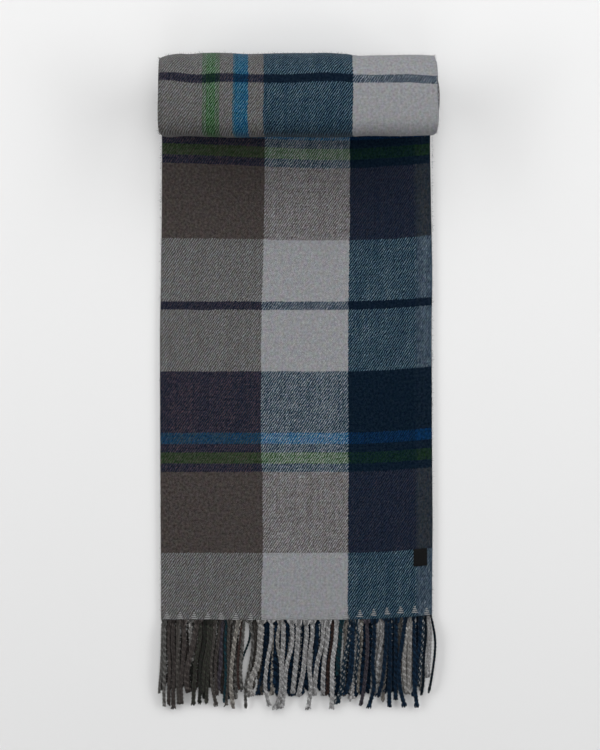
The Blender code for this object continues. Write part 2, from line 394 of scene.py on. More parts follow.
# The cloth's unevenness: how many grains a metre each kind has across and along the cloth. Each end
# and each pick keeps its own shade for a long way, and each crossing has its own.
Uneven = namedtuple("Uneven", "name across along detail")
UNEVENNESS = rows_of(
    Uneven,
    ("end shade", 1 / END_PITCH, 9.0, 1.0),
    ("pick shade", 14.0, 1 / PICK_PITCH, 1.0),
    ("crossing", 1 / END_PITCH, 1 / PICK_PITCH, 2.0),
    ("bundle", 95.0, 6.0, 1.0),
    ("cloud", 60.0, 42.0, 2.0),
    ("mottle", 170.0, 150.0, 2.0),
    ("drift", 210.0, 160.0, 1.0),
    ("grain", 330.0, 300.0, 3.0),
)


def make_checked_wool():
    """The checked cloth's finish. It reads the place in the cloth, across and along, in metres."""
    finish, loom, shader = new_finish("checked_wool")
    lie = loom.node("ShaderNodeUVMap", {"uv_map": "Weave"})
    wander = loom.node(
        "ShaderNodeTexNoise",
        {"noise_dimensions": "2D"},
        {"Vector": lie, "Scale": 30.0, "Detail": 3.0},
        "Color",
    )
    stray = loom.scaled(loom.vector("SUBTRACT", wander, (0.5, 0.5, 0.5)), 0.0015)
    place = loom.vector("ADD", lie, stray)
    across, along = loom.split(place)

    end_shade, pick_shade, crossing, bundle, cloud, mottle, drift, grain = (
        loom.noise(place, (row.across, row.along), row.detail) - 0.5 for row in UNEVENNESS
    )

    warp_stops = [((run.starts + HALF_WIDTH) / (2 * HALF_WIDTH), density(run.dye)) for run in WARP_RUNS]
    warp_at = across + pick_shade * 0.0030
    warp = loom.chart(warp_stops, (warp_at + HALF_WIDTH) / (2 * HALF_WIDTH))
    weft_at = along + end_shade * 0.0030
    repeated = along.sum_of("WRAP", weft_at, REPEAT_ENDS, REPEAT_STARTS)
    chart_row = weft_at + (weft_at > REPEAT_STARTS) * (repeated - weft_at)
    weft_stops = [(run.starts / REPEAT_ENDS, density(run.dye)) for run in WEFT_RUNS]
    weft = loom.chart(weft_stops, chart_row / REPEAT_ENDS)

    wave = ((across / END_PITCH - along / PICK_PITCH) / TWILL + drift * 0.8).wave()
    height = (wave * 0.5 + 0.5) ** TWILL_PEAK * 2 - 1 - TWILL_MEAN
    # Pale weft stands out between dark ends, dark yarns on dark ones hardly show their twill, and
    # undyed yarns are less even than the blue ones.
    clearer = (warp.green - weft.green - 0.15).held() * 3.4
    fainter = (warp.green + weft.green - 0.80).held() * 0.6
    darker = (weft.green - warp.green).held(0.0, 0.24)
    undyed = (1 - (warp.red + weft.red - warp.blue - weft.blue) * 4).held()
    in_strip = across > STRIP_STARTS
    contrast = (0.9 + clearer - fainter) * (1 - in_strip * 0.75)
    uneven = end_shade * 0.36 + pick_shade * 0.28 + crossing * (0.08 + undyed * 0.46)
    uneven = uneven + bundle * 0.16 + cloud * 0.16 + mottle * 0.28
    uneven = uneven + in_strip * (loom.noise(place, (520.0, 150.0), 2.0) - 0.5) * 0.8
    uneven = uneven + clearer * 0.20 * (1 - in_strip * 0.62)
    uneven = uneven + (weft.red - warp.red - 0.45).held(0.0, 0.16) * 0.38 + grain * darker * 1.2
    cover = warp.cover - weft.cover
    warp_up = (height * contrast * TWILL_DEPTH + uneven + cover + WARP_SHARE).held()
    depth = loom.scaled(loom.blend(warp_up, weft.colour, warp.colour), DENSEST)
    # Brown yarn is spun from lighter and darker wool, and every yarn leans a little in its hue.
    middling = (warp.green + weft.green) * 0.5 - 0.40
    heather = (1.6 - middling * middling * 15).held(0.6, 1.6)
    hue = loom.noise(place, (150.0, 120.0), 2.0).other("Color")
    hue = loom.scaled(loom.vector("SUBTRACT", hue, (0.5, 0.5, 0.5)), 0.22)
    # Undyed weft over dark ends reads cooler than its yarns, and brown beside navy reads purple.
    over_dark = (warp.green - weft.green).held()
    beside = (1 - abs(warp.red + weft.red - BROWN_NAVY) * 8).held() * (warp.green + weft.green > 0.9)
    lean = [beside * -0.25, beside * 0.12 - over_dark * 0.30, beside * -0.06 - over_dark * 0.33]
    hue = loom.vector("ADD", hue, loom.join(*lean))
    colour = loom.vector("POWER", (math.exp(-1),) * 3, loom.vector("ADD", depth, hue))
    shades = grain * 0.90 + crossing * 0.30 + end_shade * 0.14 + pick_shade * 0.10 + mottle * 0.15
    lint = grain * 0.012 + crossing * 0.010
    linted = loom.vector("ADD", loom.scaled(colour, 1 + shades * heather), loom.join(lint, lint, lint))
    linted = loom.vector("MAXIMUM", linted, (0.0005, 0.0005, 0.0005))

    ridge = height * contrast * 0.5 + crossing * 1.2 + grain * 1.2 + end_shade * 0.6 + pick_shade * 0.6
    sockets = {
        "Base Color": linted,
        "Normal": loom.bump(0.5, 0.0003, ridge),
        "Roughness": 0.92 + crossing * 0.15,
        "Specular IOR Level": 0.03,
        "Sheen Weight": 0.04,
        "Sheen Roughness": 0.50,
    }
    loom.fill(shader, sockets)
    return finish


checked_wool = make_checked_wool()


def facing(middle):
    """The direction in which each point of a grid of points faces."""
    along = np.gradient(middle, axis=0)
    across = np.gradient(middle, axis=1)
    out = np.cross(across, along)
    return out / np.maximum(np.linalg.norm(out, axis=2, keepdims=True), 1e-12)


def run_length(middle, axis):
    """The cloth's own distance from the start of the grid, along one of its directions."""
    steps = np.linalg.norm(np.diff(middle, axis=axis), axis=2)
    start = np.zeros_like(steps.take([0], axis=axis))
    return np.concatenate([start, np.cumsum(steps, axis=axis)], axis=axis)


def rounded_edge(length, step):
    """Places a step apart along a run, and closer at both its ends, where the cloth's edge is round."""
    radius = CLOTH / 2
    near = [radius * (1 - math.cos(turn)) for turn in (0.0, 0.45, 0.85, 1.2, math.pi / 2)]
    places = np.linspace(0, length, max(2, int(length / step)) + 1)[1:-1].tolist()
    inside = [p for p in places if near[-1] * 1.4 < p < length - near[-1] * 1.4]
    return np.array(near + inside + [length - p for p in reversed(near)])


def add_maps(mesh, maps):
    """Gives a mesh its maps, with one place on each for each corner."""
    for title, corners in maps.items():
        layer = mesh.uv_layers.new(name=title)
        layer.data.foreach_set("uv", np.ascontiguousarray(corners, np.float32).ravel())


def close_shell(name, top, low, across, down, cut, face_share, finish):
    """A closed thin shell from two grids of points that meet at their rims. across and down, from 0
    to 1, place them on the bake, and face_share is the top grid's share of it."""
    number = np.arange(across.size).reshape(across.shape)
    under = number.copy()
    inside = number[1:-1, 1:-1]
    under[1:-1, 1:-1] = across.size + np.arange(inside.size).reshape(inside.shape)
    points = np.concatenate([top.reshape(-1, 3), low.reshape(-1, 3)[inside.ravel()]])

    def ring(grid):
        return np.stack([grid[:-1, :-1], grid[:-1, 1:], grid[1:, 1:], grid[1:, :-1]], -1).reshape(-1, 4)

    rings = ring(number)
    back_rings = rings[:, ::-1]
    faces = np.concatenate([rings, ring(under)[:, ::-1]])
    face_map = np.stack([across, down * face_share], -1).reshape(-1, 2)
    back_map = np.stack([across, face_share + 0.01 + down * (0.99 - face_share)], -1).reshape(-1, 2)
    flat = cut.reshape(-1, 2)
    maps = {
        "OFBake": np.concatenate([face_map[rings], back_map[back_rings]]),
        "Weave": np.concatenate([flat[rings], flat[back_rings]]),
    }
    mesh = bpy.data.meshes.new(name)
    mesh.from_pydata(points.tolist(), [], faces.tolist())
    add_maps(mesh, maps)
    mesh.materials.append(finish)
    mesh.shade_smooth()
    return put_down(name, mesh)


def lay_cloth(name, middle, weave, face_share=0.86):
    """A closed thin shell of cloth round a grid of middle points, round at its free edges.
    weave is each point's place in the cloth, and face_share is the outer face's share of the bake."""
    middle = np.array(middle)
    weave = np.array(weave)
    out = facing(middle)
    from_side = run_length(middle, 1)
    from_end = run_length(middle, 0)
    side_room = np.minimum(from_side, from_side[:, -1:] - from_side)
    end_room = np.minimum(from_end, from_end[-1:, :] - from_end)
    room = np.minimum(side_room, end_room) / (CLOTH / 2)
    depth = CLOTH / 2 * np.sqrt(np.clip(1 - (1 - np.clip(room, 0, 1)) ** 2, 0, 1))
    away = out * depth[..., None]
    across = from_side / from_side[:, -1:]
    down = from_end / from_end[-1:, :]
    return close_shell(name, middle + away, middle - away, across, down, weave, face_share, checked_wool)


# The edges of the flat stretch and the two warp joins on its face, by the distance from the hem.
FlatRow = namedtuple("FlatRow", "from_hem fold_in brown_grey_x grey_navy_x selvedge_in")
FLAT_ROWS = rows_of(
    FlatRow,
    (0.0000, 0.0002, -0.0506, 0.0616, 0.0000),
    (0.0320, 0.0000, -0.0506, 0.0616, 0.0000),
    (0.0680, 0.0000, -0.0488, 0.0618, -0.0003),
    (0.1170, -0.0004, -0.0487, 0.0622, -0.0006),
    (0.1650, -0.0006, -0.0488, 0.0626, -0.0003),
    (0.2400, -0.0010, -0.0511, 0.0625, 0.0002),
    (0.3010, -0.0012, -0.0511, 0.0622, 0.0004),
    (0.3830, -0.0012, -0.0506, 0.0625, 0.0006),
    (0.4380, -0.0001, -0.0490, 0.0629, -0.0002),
    (0.4760, 0.0004, -0.0480, 0.0637, 0.0004),
    (0.5200, 0.0010, -0.0468, 0.0642, 0.0012),
    (0.5630, 0.0011, -0.0463, 0.0644, 0.0019),
    (0.6080, 0.0012, -0.0463, 0.0644, 0.0026),
    (0.6720, 0.0010, -0.0463, 0.0644, 0.0020),
)
FOLD_X = -0.1800
SELVEDGE_X = 0.1710
BOW = 0.0064  # how far the weft bows towards the roll at the selvedge
BOW_START_X = 0.0400
BOW_POWER = 2.2
BOW_FADE = 0.0600


def column(rows, key, name, wanted):
    """A smooth reading of one column of a table, at values of its key column."""
    keys = np.array([getattr(row, key) for row in rows])
    values = np.array([getattr(row, name) for row in rows])
    slopes = np.gradient(values, keys)
    wanted = np.clip(wanted, keys[0], keys[-1])
    spot = np.clip(np.searchsorted(keys, wanted) - 1, 0, len(keys) - 2)
    span = keys[spot + 1] - keys[spot]
    t = (wanted - keys[spot]) / span
    start = (1 + 2 * t) * (1 - t) ** 2 * values[spot] + t * (1 - t) ** 2 * span * slopes[spot]
    end = t * t * (3 - 2 * t) * values[spot + 1] - t * t * (1 - t) * span * slopes[spot + 1]
    return start + end


def weft_bow(x, from_hem):
    """How far the weft has bowed towards the roll at a point of the flat stretch."""
    late = np.maximum(0.0, x - BOW_START_X) / (SELVEDGE_X - BOW_START_X)
    return BOW * late**BOW_POWER * np.minimum(1.0, (FLAT_LENGTH - from_hem) / BOW_FADE)


# Soft troughs and ridges in the flat stretch: middle, heading from the warp in degrees, half
# length, half width and height. They differ in length, depth and spacing, as cloth smoothed out
# by hand keeps them.
Crease = namedtuple("Crease", "x y heading reach width height")
FLAT_CREASES = rows_of(
    Crease,
    (-0.1180, -0.1900, 6.0, 0.085, 0.013, 0.00055),
    (-0.0900, 0.0600, -4.0, 0.120, 0.016, -0.00040),
    (-0.0100, -0.0700, 3.0, 0.100, 0.014, 0.00050),
    (0.0350, 0.1700, -7.0, 0.090, 0.012, -0.00045),
    (0.1050, 0.0300, 5.0, 0.130, 0.015, 0.00050),
    (0.1450, -0.1500, -3.0, 0.080, 0.010, 0.00050),
    (0.1300, 0.2300, 10.0, 0.070, 0.012, 0.00045),
    (-0.1450, 0.2350, -9.0, 0.060, 0.011, 0.00050),
    (-0.0350, 0.2700, 62.0, 0.060, 0.014, 0.00055),
    (0.1480, -0.2280, 74.0, 0.020, 0.006, 0.00060),
    (0.0200, -0.2450, 81.0, 0.070, 0.012, 0.00035),
)


def crease_height(x, y, creases):
    """How far the creases lift or lower the cloth at each point."""
    height = np.zeros(np.broadcast(x, y).shape)
    for crease in creases:
        turn = math.radians(crease.heading)
        run = (y - crease.y) * math.cos(turn) + (x - crease.x) * math.sin(turn)
        side = (x - crease.x) * math.cos(turn) - (y - crease.y) * math.sin(turn)
        shape = np.exp(-((run / crease.reach) ** 2)) * np.exp(-((side / crease.width) ** 2))
        height = height + crease.height * shape
    return height


# How far the rows rise towards the roll on the left, close to it.
RowLean = namedtuple("RowLean", "x rise")
ROW_LEAN = rows_of(
    RowLean,
    (-0.1800, 0.0062),
    (-0.1630, 0.0059),
    (-0.1270, 0.0049),
    (-0.0840, 0.0033),
    (-0.0500, 0.0014),
    (-0.0200, 0.0000),
    (0.1800, 0.0000),
)
LEAN_STARTS = 0.420
LEAN_FULL = 0.590


# The creases keep clear of the edges, and fade in past these distances from them.
HEM_CLEAR = 0.004
ROLL_CLEAR = 0.05
FOLD_CLEAR = 0.006
CREASE_FADE = 0.03
RIGHT_CLEAR_X = 0.174  # where they have faded out on the right
RIGHT_FADE = 0.02


def front_lift(x, from_hem):
    """Height of the creases on the front half, which fade out at its edges and under the roll."""
    fade = np.clip((from_hem - HEM_CLEAR) / CREASE_FADE, 0, 1)
    fade = fade * np.clip((FLAT_LENGTH - ROLL_CLEAR - from_hem) / CREASE_FADE, 0, 1)
    fade = fade * np.clip((x - FOLD_X - FOLD_CLEAR) / CREASE_FADE, 0, 1)
    fade = fade * np.clip((RIGHT_CLEAR_X - x) / RIGHT_FADE, 0, 1)
    return crease_height(x, HEM_Y + from_hem, FLAT_CREASES) * fade


FRONT_STEP = 0.0052
BEND_STEPS = 12  # facets round the fold


def build_front_half():
    """The front half, from its selvedge to the fold, round the bend and a little way under."""
    rows = rounded_edge(FLAT_LENGTH, FRONT_STEP)
    fold_x = FOLD_X + column(FLAT_ROWS, "from_hem", "fold_in", rows)
    selvedge_x = SELVEDGE_X - column(FLAT_ROWS, "from_hem", "selvedge_in", rows)
    axis_x = fold_x + CLOTH / 2 + BEND
    flat_width = SELVEDGE_X - FOLD_X
    places = rounded_edge(flat_width, FRONT_STEP)[:-5]
    sections = []
    weaves = []
    for row, from_hem in enumerate(rows):
        share = places / places[-1]
        x = selvedge_x[row] + (axis_x[row] - selvedge_x[row]) * share
        y = HEM_Y + from_hem + weft_bow(x, from_hem)
        z = LAYER + CLOTH / 2 + front_lift(x, from_hem)
        joins = [
            axis_x[row],
            column(FLAT_ROWS, "from_hem", "brown_grey_x", from_hem),
            column(FLAT_ROWS, "from_hem", "grey_navy_x", from_hem),
            selvedge_x[row] - (HALF_WIDTH - STRIP_STARTS),
            selvedge_x[row],
        ]
        across = np.interp(x, joins, [TURN_UNDER, BROWN_ENDS, GREY_ENDS, STRIP_STARTS, HALF_WIDTH])
        turns = np.linspace(0, math.pi, BEND_STEPS + 1)[1:]
        bend_x = axis_x[row] - BEND * np.sin(turns)
        bend_z = CLOTH / 2 + BEND + BEND * np.cos(turns)
        bend_across = TURN_UNDER - BEND * turns
        lap = FOLD_LAP * np.array([0.4, 0.8, 1.0])
        x = np.concatenate([x, bend_x, axis_x[row] + lap])
        y = np.concatenate([y, np.full(len(turns) + len(lap), HEM_Y + from_hem)])
        z = np.concatenate([z, bend_z, np.full(len(lap), CLOTH / 2)])
        across = np.concatenate([across, bend_across, -TURN_UNDER - lap])
        leaning = min(1.0, max(0.0, (from_hem - LEAN_STARTS) / (LEAN_FULL - LEAN_STARTS)))
        along = from_hem - column(ROW_LEAN, "x", "rise", x) * leaning
        sections.append(np.stack([x, y, z], -1)[::-1])
        weaves.append(np.stack([across, along], -1)[::-1])
    return lay_cloth("front_half", sections, weaves)


front_half = build_front_half()
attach(front_half, "root")
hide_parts("upper_layer")


# ---------------------------------------------------------------------------
# The back half's flat stretch
# The same cloth, turned under and flat on the table. Its selvedge lies just inside the front's.
# ---------------------------------------------------------------------------

BACK_SELVEDGE_IN = 0.0012
BACK_STEP = 0.0090


def build_back_half():
    """The back half's flat stretch, from its selvedge to the end of the front half's lap."""
    rows = rounded_edge(FLAT_LENGTH, BACK_STEP)
    fold_x = FOLD_X + column(FLAT_ROWS, "from_hem", "fold_in", rows)
    selvedge_x = SELVEDGE_X - BACK_SELVEDGE_IN - column(FLAT_ROWS, "from_hem", "selvedge_in", rows)
    lap_x = fold_x + CLOTH / 2 + BEND + FOLD_LAP + GAP
    width = SELVEDGE_X - FOLD_X
    places = rounded_edge(width, BACK_STEP)
    sections = []
    weaves = []
    for row, from_hem in enumerate(rows):
        x = lap_x[row] + (selvedge_x[row] - lap_x[row]) * places / width
        y = HEM_Y + from_hem + weft_bow(x, from_hem)
        z = np.full(len(x), CLOTH / 2)
        across = -(TURN_UNDER + x - fold_x[row] - CLOTH / 2 - BEND)
        sections.append(np.stack([x, y, z], -1))
        weaves.append(np.stack([across, np.full(len(x), from_hem)], -1))
    return lay_cloth("back_half", sections, weaves, 0.5)


back_half = build_back_half()
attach(back_half, "root")
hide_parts("lower_layer")


# ---------------------------------------------------------------------------
# The roll's outer turn
# The doubled cloth turns up from the table, round the far side and back over the flat stretch.
# Its back half is the outside. The fold closes its left end and both selvedges lie at its right.
# ---------------------------------------------------------------------------

ROLL_RADIUS = 0.0528
PITCH = 2 * LAYER

# How many times wider than its winding radius the roll has sagged, on its far and near sides.
Swell = namedtuple("Swell", "x spread")
FAR_SWELL = rows_of(
    Swell,
    (-0.1800, 0.930),
    (-0.1770, 0.948),
    (-0.1706, 0.997),
    (-0.1553, 1.050),
    (-0.1400, 1.044),
    (-0.1248, 1.070),
    (-0.0942, 1.071),
    (-0.0640, 1.045),
    (-0.0400, 1.058),
    (-0.0178, 1.068),
    (0.0127, 1.069),
    (0.0433, 1.072),
    (0.0586, 1.050),
    (0.0738, 0.998),
    (0.0891, 1.004),
    (0.1200, 1.017),
    (0.1502, 1.024),
    (0.1655, 1.010),
    (0.1830, 0.990),
)
NEAR_SWELL = rows_of(
    Swell,
    (-0.1800, 1.040),
    (-0.1706, 1.078),
    (-0.1476, 1.055),
    (-0.1100, 1.080),
    (-0.0800, 1.095),
    (-0.0480, 1.080),
    (-0.0330, 1.082),
    (-0.0178, 1.080),
    (0.0000, 1.085),
    (0.0600, 1.082),
    (0.0760, 1.056),
    (0.1350, 1.052),
    (0.1655, 1.030),
    (0.1830, 1.020),
)


SHOULDER_POWER = 6.5


def roll_point(turn, radius, x):
    """Points of the roll, at a turn from the table round the far side and a radius. Its top has sunk
    flat towards the near side, which leaves a fuller shoulder there, less so further in."""
    angle = math.tau * turn - math.pi / 2
    shoulder = (np.cos(angle) < 0) & (np.sin(angle) > 0)
    power = 2.0 + (SHOULDER_POWER - 2.0) * shoulder * (radius / ROLL_RADIUS) ** 3
    around = np.abs(np.cos(angle)) ** power + np.abs(np.sin(angle)) ** power
    radius = radius * around ** (-1 / power)
    far = column(FAR_SWELL, "x", "spread", x)
    near = column(NEAR_SWELL, "x", "spread", x)
    leaning = 0.5 + 0.5 * np.clip(np.cos(angle) * 4, -1, 1)
    spread = near + (far - near) * leaning
    y = ROLL_Y + spread * radius * np.cos(angle)
    z = ROLL_RADIUS + radius * np.sin(angle)
    return np.stack([x + 0 * y, y, z + 0 * y], -1)


def winding_radius(turn):
    """Outside radius of the doubled cloth after a number of turns from the table."""
    return ROLL_RADIUS - PITCH * turn


# The ends of the outer turn: 0 is on the table, 1 is back over the flat stretch.
WrapEnds = namedtuple("WrapEnds", "turn fold_x selvedge_x")
WRAP_ENDS = rows_of(
    WrapEnds,
    (0.00, -0.1795, 0.1695),
    (0.25, -0.1790, 0.1706),
    (0.38, -0.1782, 0.1718),
    (0.50, -0.1780, 0.1724),
    (0.60, -0.1786, 0.1736),
    (0.67, -0.1778, 0.1726),
    (0.75, -0.1760, 0.1706),
    (1.00, -0.1760, 0.1700),
)
# The cloth's place from the hem by its distance round the outer turn, and how far the rows stray
# from that across the roll.
STRIPE_RUN = 0.1498
FIRST_PLACE = 0.6720
STRIPE_PLACE = 0.8020
SHOULDER_TURN = 0.68
Stray = namedtuple("Stray", "x along")
ROW_STRAY = rows_of(
    Stray,
    (-0.1800, 0.0042),
    (-0.1678, 0.0036),
    (-0.1530, 0.0018),
    (-0.1380, 0.0000),
    (-0.1228, -0.0011),
    (-0.1078, 0.0000),
    (0.0000, 0.0000),
    (0.0130, 0.0010),
    (0.0580, 0.0010),
    (0.0720, 0.0005),
    (0.1180, 0.0005),
    (0.1330, 0.0006),
    (0.1630, -0.0011),
    (0.1760, -0.0014),
)
# Creases in the outer turn, unrolled: their y is the distance round it from the table.
ROLL_CREASES = rows_of(
    Crease,
    (-0.1300, 0.150, 82.0, 0.050, 0.010, 0.0010),
    (-0.0300, 0.118, 86.0, 0.030, 0.008, -0.0009),
    (0.0600, 0.145, 12.0, 0.060, 0.009, -0.0012),
    (0.1200, 0.120, 84.0, 0.050, 0.010, 0.0008),
    (-0.0360, 0.240, 8.0, 0.045, 0.008, -0.0013),
    (0.0100, 0.050, 70.0, 0.060, 0.012, 0.0012),
    (-0.1000, 0.040, 88.0, 0.070, 0.010, -0.0010),
    (0.1350, 0.060, 80.0, 0.040, 0.010, 0.0010),
)
OUTER_STEPS = 120
OUTER_REACH = 0.9985  # turns from the table to where the inner turns take over
HIDDEN_STEP = 0.03
FRONT_PROUD = 0.0006  # how far the front half's selvedge stands out past the back's
DOUBLED_WIDTH = 0.348  # of each half, between the fold's bend and the selvedge
LIFTED_HALF_WIDTH = 0.168  # the creases have faded out this far from the middle
ROLL_FADE = 0.02


def doubled_places(step):
    """Shares of the way from a selvedge to the fold's bend, closer together at the selvedge."""
    places = rounded_edge(DOUBLED_WIDTH, step)[:-4] / DOUBLED_WIDTH
    return places / places[-1]


def doubled_section(turn, fold_x, back_x, front_x, back_places, front_places):
    """A section of the doubled cloth, from the back selvedge round the fold to the front one.
    Gives x, the radius, and the distance across the cloth from the fold."""
    radius = winding_radius(turn)
    back_radius = radius - CLOTH / 2
    axis_x = fold_x + CLOTH / 2 + BEND
    turns = np.linspace(0, math.pi, 11)[1:-1]
    back = back_x + (axis_x - back_x) * back_places
    front = axis_x + (front_x - axis_x) * front_places
    x = np.concatenate([back, axis_x - BEND * np.sin(turns), front])
    away = np.concatenate(
        [np.full(len(back), back_radius), back_radius - BEND + BEND * np.cos(turns),
         np.full(len(front), back_radius - LAYER)]
    )
    across = np.concatenate(
        [-(back - axis_x) - TURN_UNDER, -(TURN_UNDER - BEND * turns), front - axis_x + TURN_UNDER]
    )
    return x, away, across


def build_outer_turn():
    """The outer turn, with fine places over its outside and few over its hidden inside."""
    turns = np.linspace(0, OUTER_REACH, OUTER_STEPS + 1)
    back_places = doubled_places(FRONT_STEP)
    front_places = 1 - doubled_places(HIDDEN_STEP)[::-1]
    sections = []
    weaves = []
    outline = roll_point(turns[:, None], ROLL_RADIUS, np.full((1, 1), -0.05))[:, 0]
    run = np.linalg.norm(np.diff(outline, axis=0), axis=1)
    run = np.concatenate([[0], np.cumsum(run)])
    base = np.interp(run, [0, STRIPE_RUN, 1], [FIRST_PLACE, STRIPE_PLACE, STRIPE_PLACE + 1 - STRIPE_RUN])
    # Past the stripe the cloth is eased over the near shoulder of the roll.
    eased = (run > STRIPE_RUN) & (turns < SHOULDER_TURN)
    steps = np.diff(base, prepend=base[0])
    worn = roll_point(turns[:, None], winding_radius(turns)[:, None] - CLOTH / 2, np.full((1, 1), 0.05))
    tighter = 1 + 0.12 * np.clip((turns - 0.55) / 0.08, 0, 1)
    steps[eased] = (np.abs(np.diff(worn[:, 0, 1], prepend=worn[0, 0, 1])) * tighter)[eased]
    base = FIRST_PLACE + np.cumsum(steps)
    for step, turn in enumerate(turns):
        fold_x = column(WRAP_ENDS, "turn", "fold_x", turn)
        selvedge_x = column(WRAP_ENDS, "turn", "selvedge_x", turn)
        x, away, across = doubled_section(
            turn, fold_x, selvedge_x, selvedge_x + FRONT_PROUD, back_places, front_places
        )
        lift = crease_height(x, run[step], ROLL_CREASES)
        from_ends = np.clip((LIFTED_HALF_WIDTH - np.abs(x)) / ROLL_FADE, 0, 1)
        outside = np.clip(away - winding_radius(turn) + CLOTH, 0, 1e-3) * 1e3
        away = away + lift * (from_ends * outside)
        sections.append(roll_point(turn, away, x))
        along = base[step] + column(ROW_STRAY, "x", "along", x)
        weaves.append(np.stack([across, along + 0 * across], -1))
    return lay_cloth("roll_outer_turn", sections, weaves, 0.92), base[-1]


roll_outer_turn, outer_end_place = build_outer_turn()
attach(roll_outer_turn, "root")
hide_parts("roll_wrap")


# ---------------------------------------------------------------------------
# The roll's inner turns
# The rest of the doubled cloth, wound inwards to the middle. Its turns have slipped a little
# along each other, so the folded ends and the selvedges don't lie flush.
# ---------------------------------------------------------------------------

INNER_TURNS = 6.0
INNER_STEPS = 54
INNER_STEP = 0.024
INNER_FOLD_X = -0.1772
INNER_BACK_X = 0.1730
INNER_FRONT_X = 0.1712
SLIP = 0.0042
SLIP_RADIUS = 0.0225
# How far a turn may slip at the fold, the back selvedge and the front selvedge.
SLIP_REACHES = ((-0.0010, 0.0014), (-0.0010, 0.0008), (-0.0012, 0.0010))


def smooth_step(share):
    """A share from 0 to 1 that starts and ends softly."""
    share = np.clip(share, 0, 1)
    return share * share * (3 - 2 * share)


def build_inner_turns():
    """The hidden turns, wound from where the outer turn ends in to the roll's middle."""
    slips = random.Random(41)
    count = int(INNER_TURNS * INNER_STEPS)
    turns = 1.0 + np.linspace(0, INNER_TURNS, count + 1)
    knots = np.linspace(0, INNER_TURNS, int(INNER_TURNS * 4) + 1)
    fold_slips, back_slips, front_slips = (
        np.interp(turns - 1, knots, [slips.uniform(*reach) for _ in knots]) for reach in SLIP_REACHES
    )
    back_places = doubled_places(INNER_STEP)
    front_places = 1 - back_places[::-1]
    sections = []
    weaves = []
    place = outer_end_place
    for step, turn in enumerate(turns):
        radius = winding_radius(turn)
        slip = SLIP * smooth_step((SLIP_RADIUS - radius) / (2 * PITCH) + 0.5)
        x, away, across = doubled_section(
            turn,
            INNER_FOLD_X + fold_slips[step],
            INNER_BACK_X + slip + back_slips[step],
            INNER_FRONT_X + slip + front_slips[step],
            back_places,
            front_places,
        )
        if step:
            place += math.tau * (radius - LAYER) * (turns[1] - turns[0])
        sections.append(roll_point(turn, away, x))
        weaves.append(np.stack([across, np.full(len(x), place)], -1))
    return lay_cloth("roll_inner_turns", sections, weaves, 0.5)


roll_inner_turns = build_inner_turns()
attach(roll_inner_turns, "root")
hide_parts("roll_core")


# ---------------------------------------------------------------------------
# The twisted tassels of the front and back halves
# The warp ends run on past the hem. Each bunch is parted in two, and the two are twisted round
# each other into a soft two-ply cord, left to fray at its cut end.
# ---------------------------------------------------------------------------

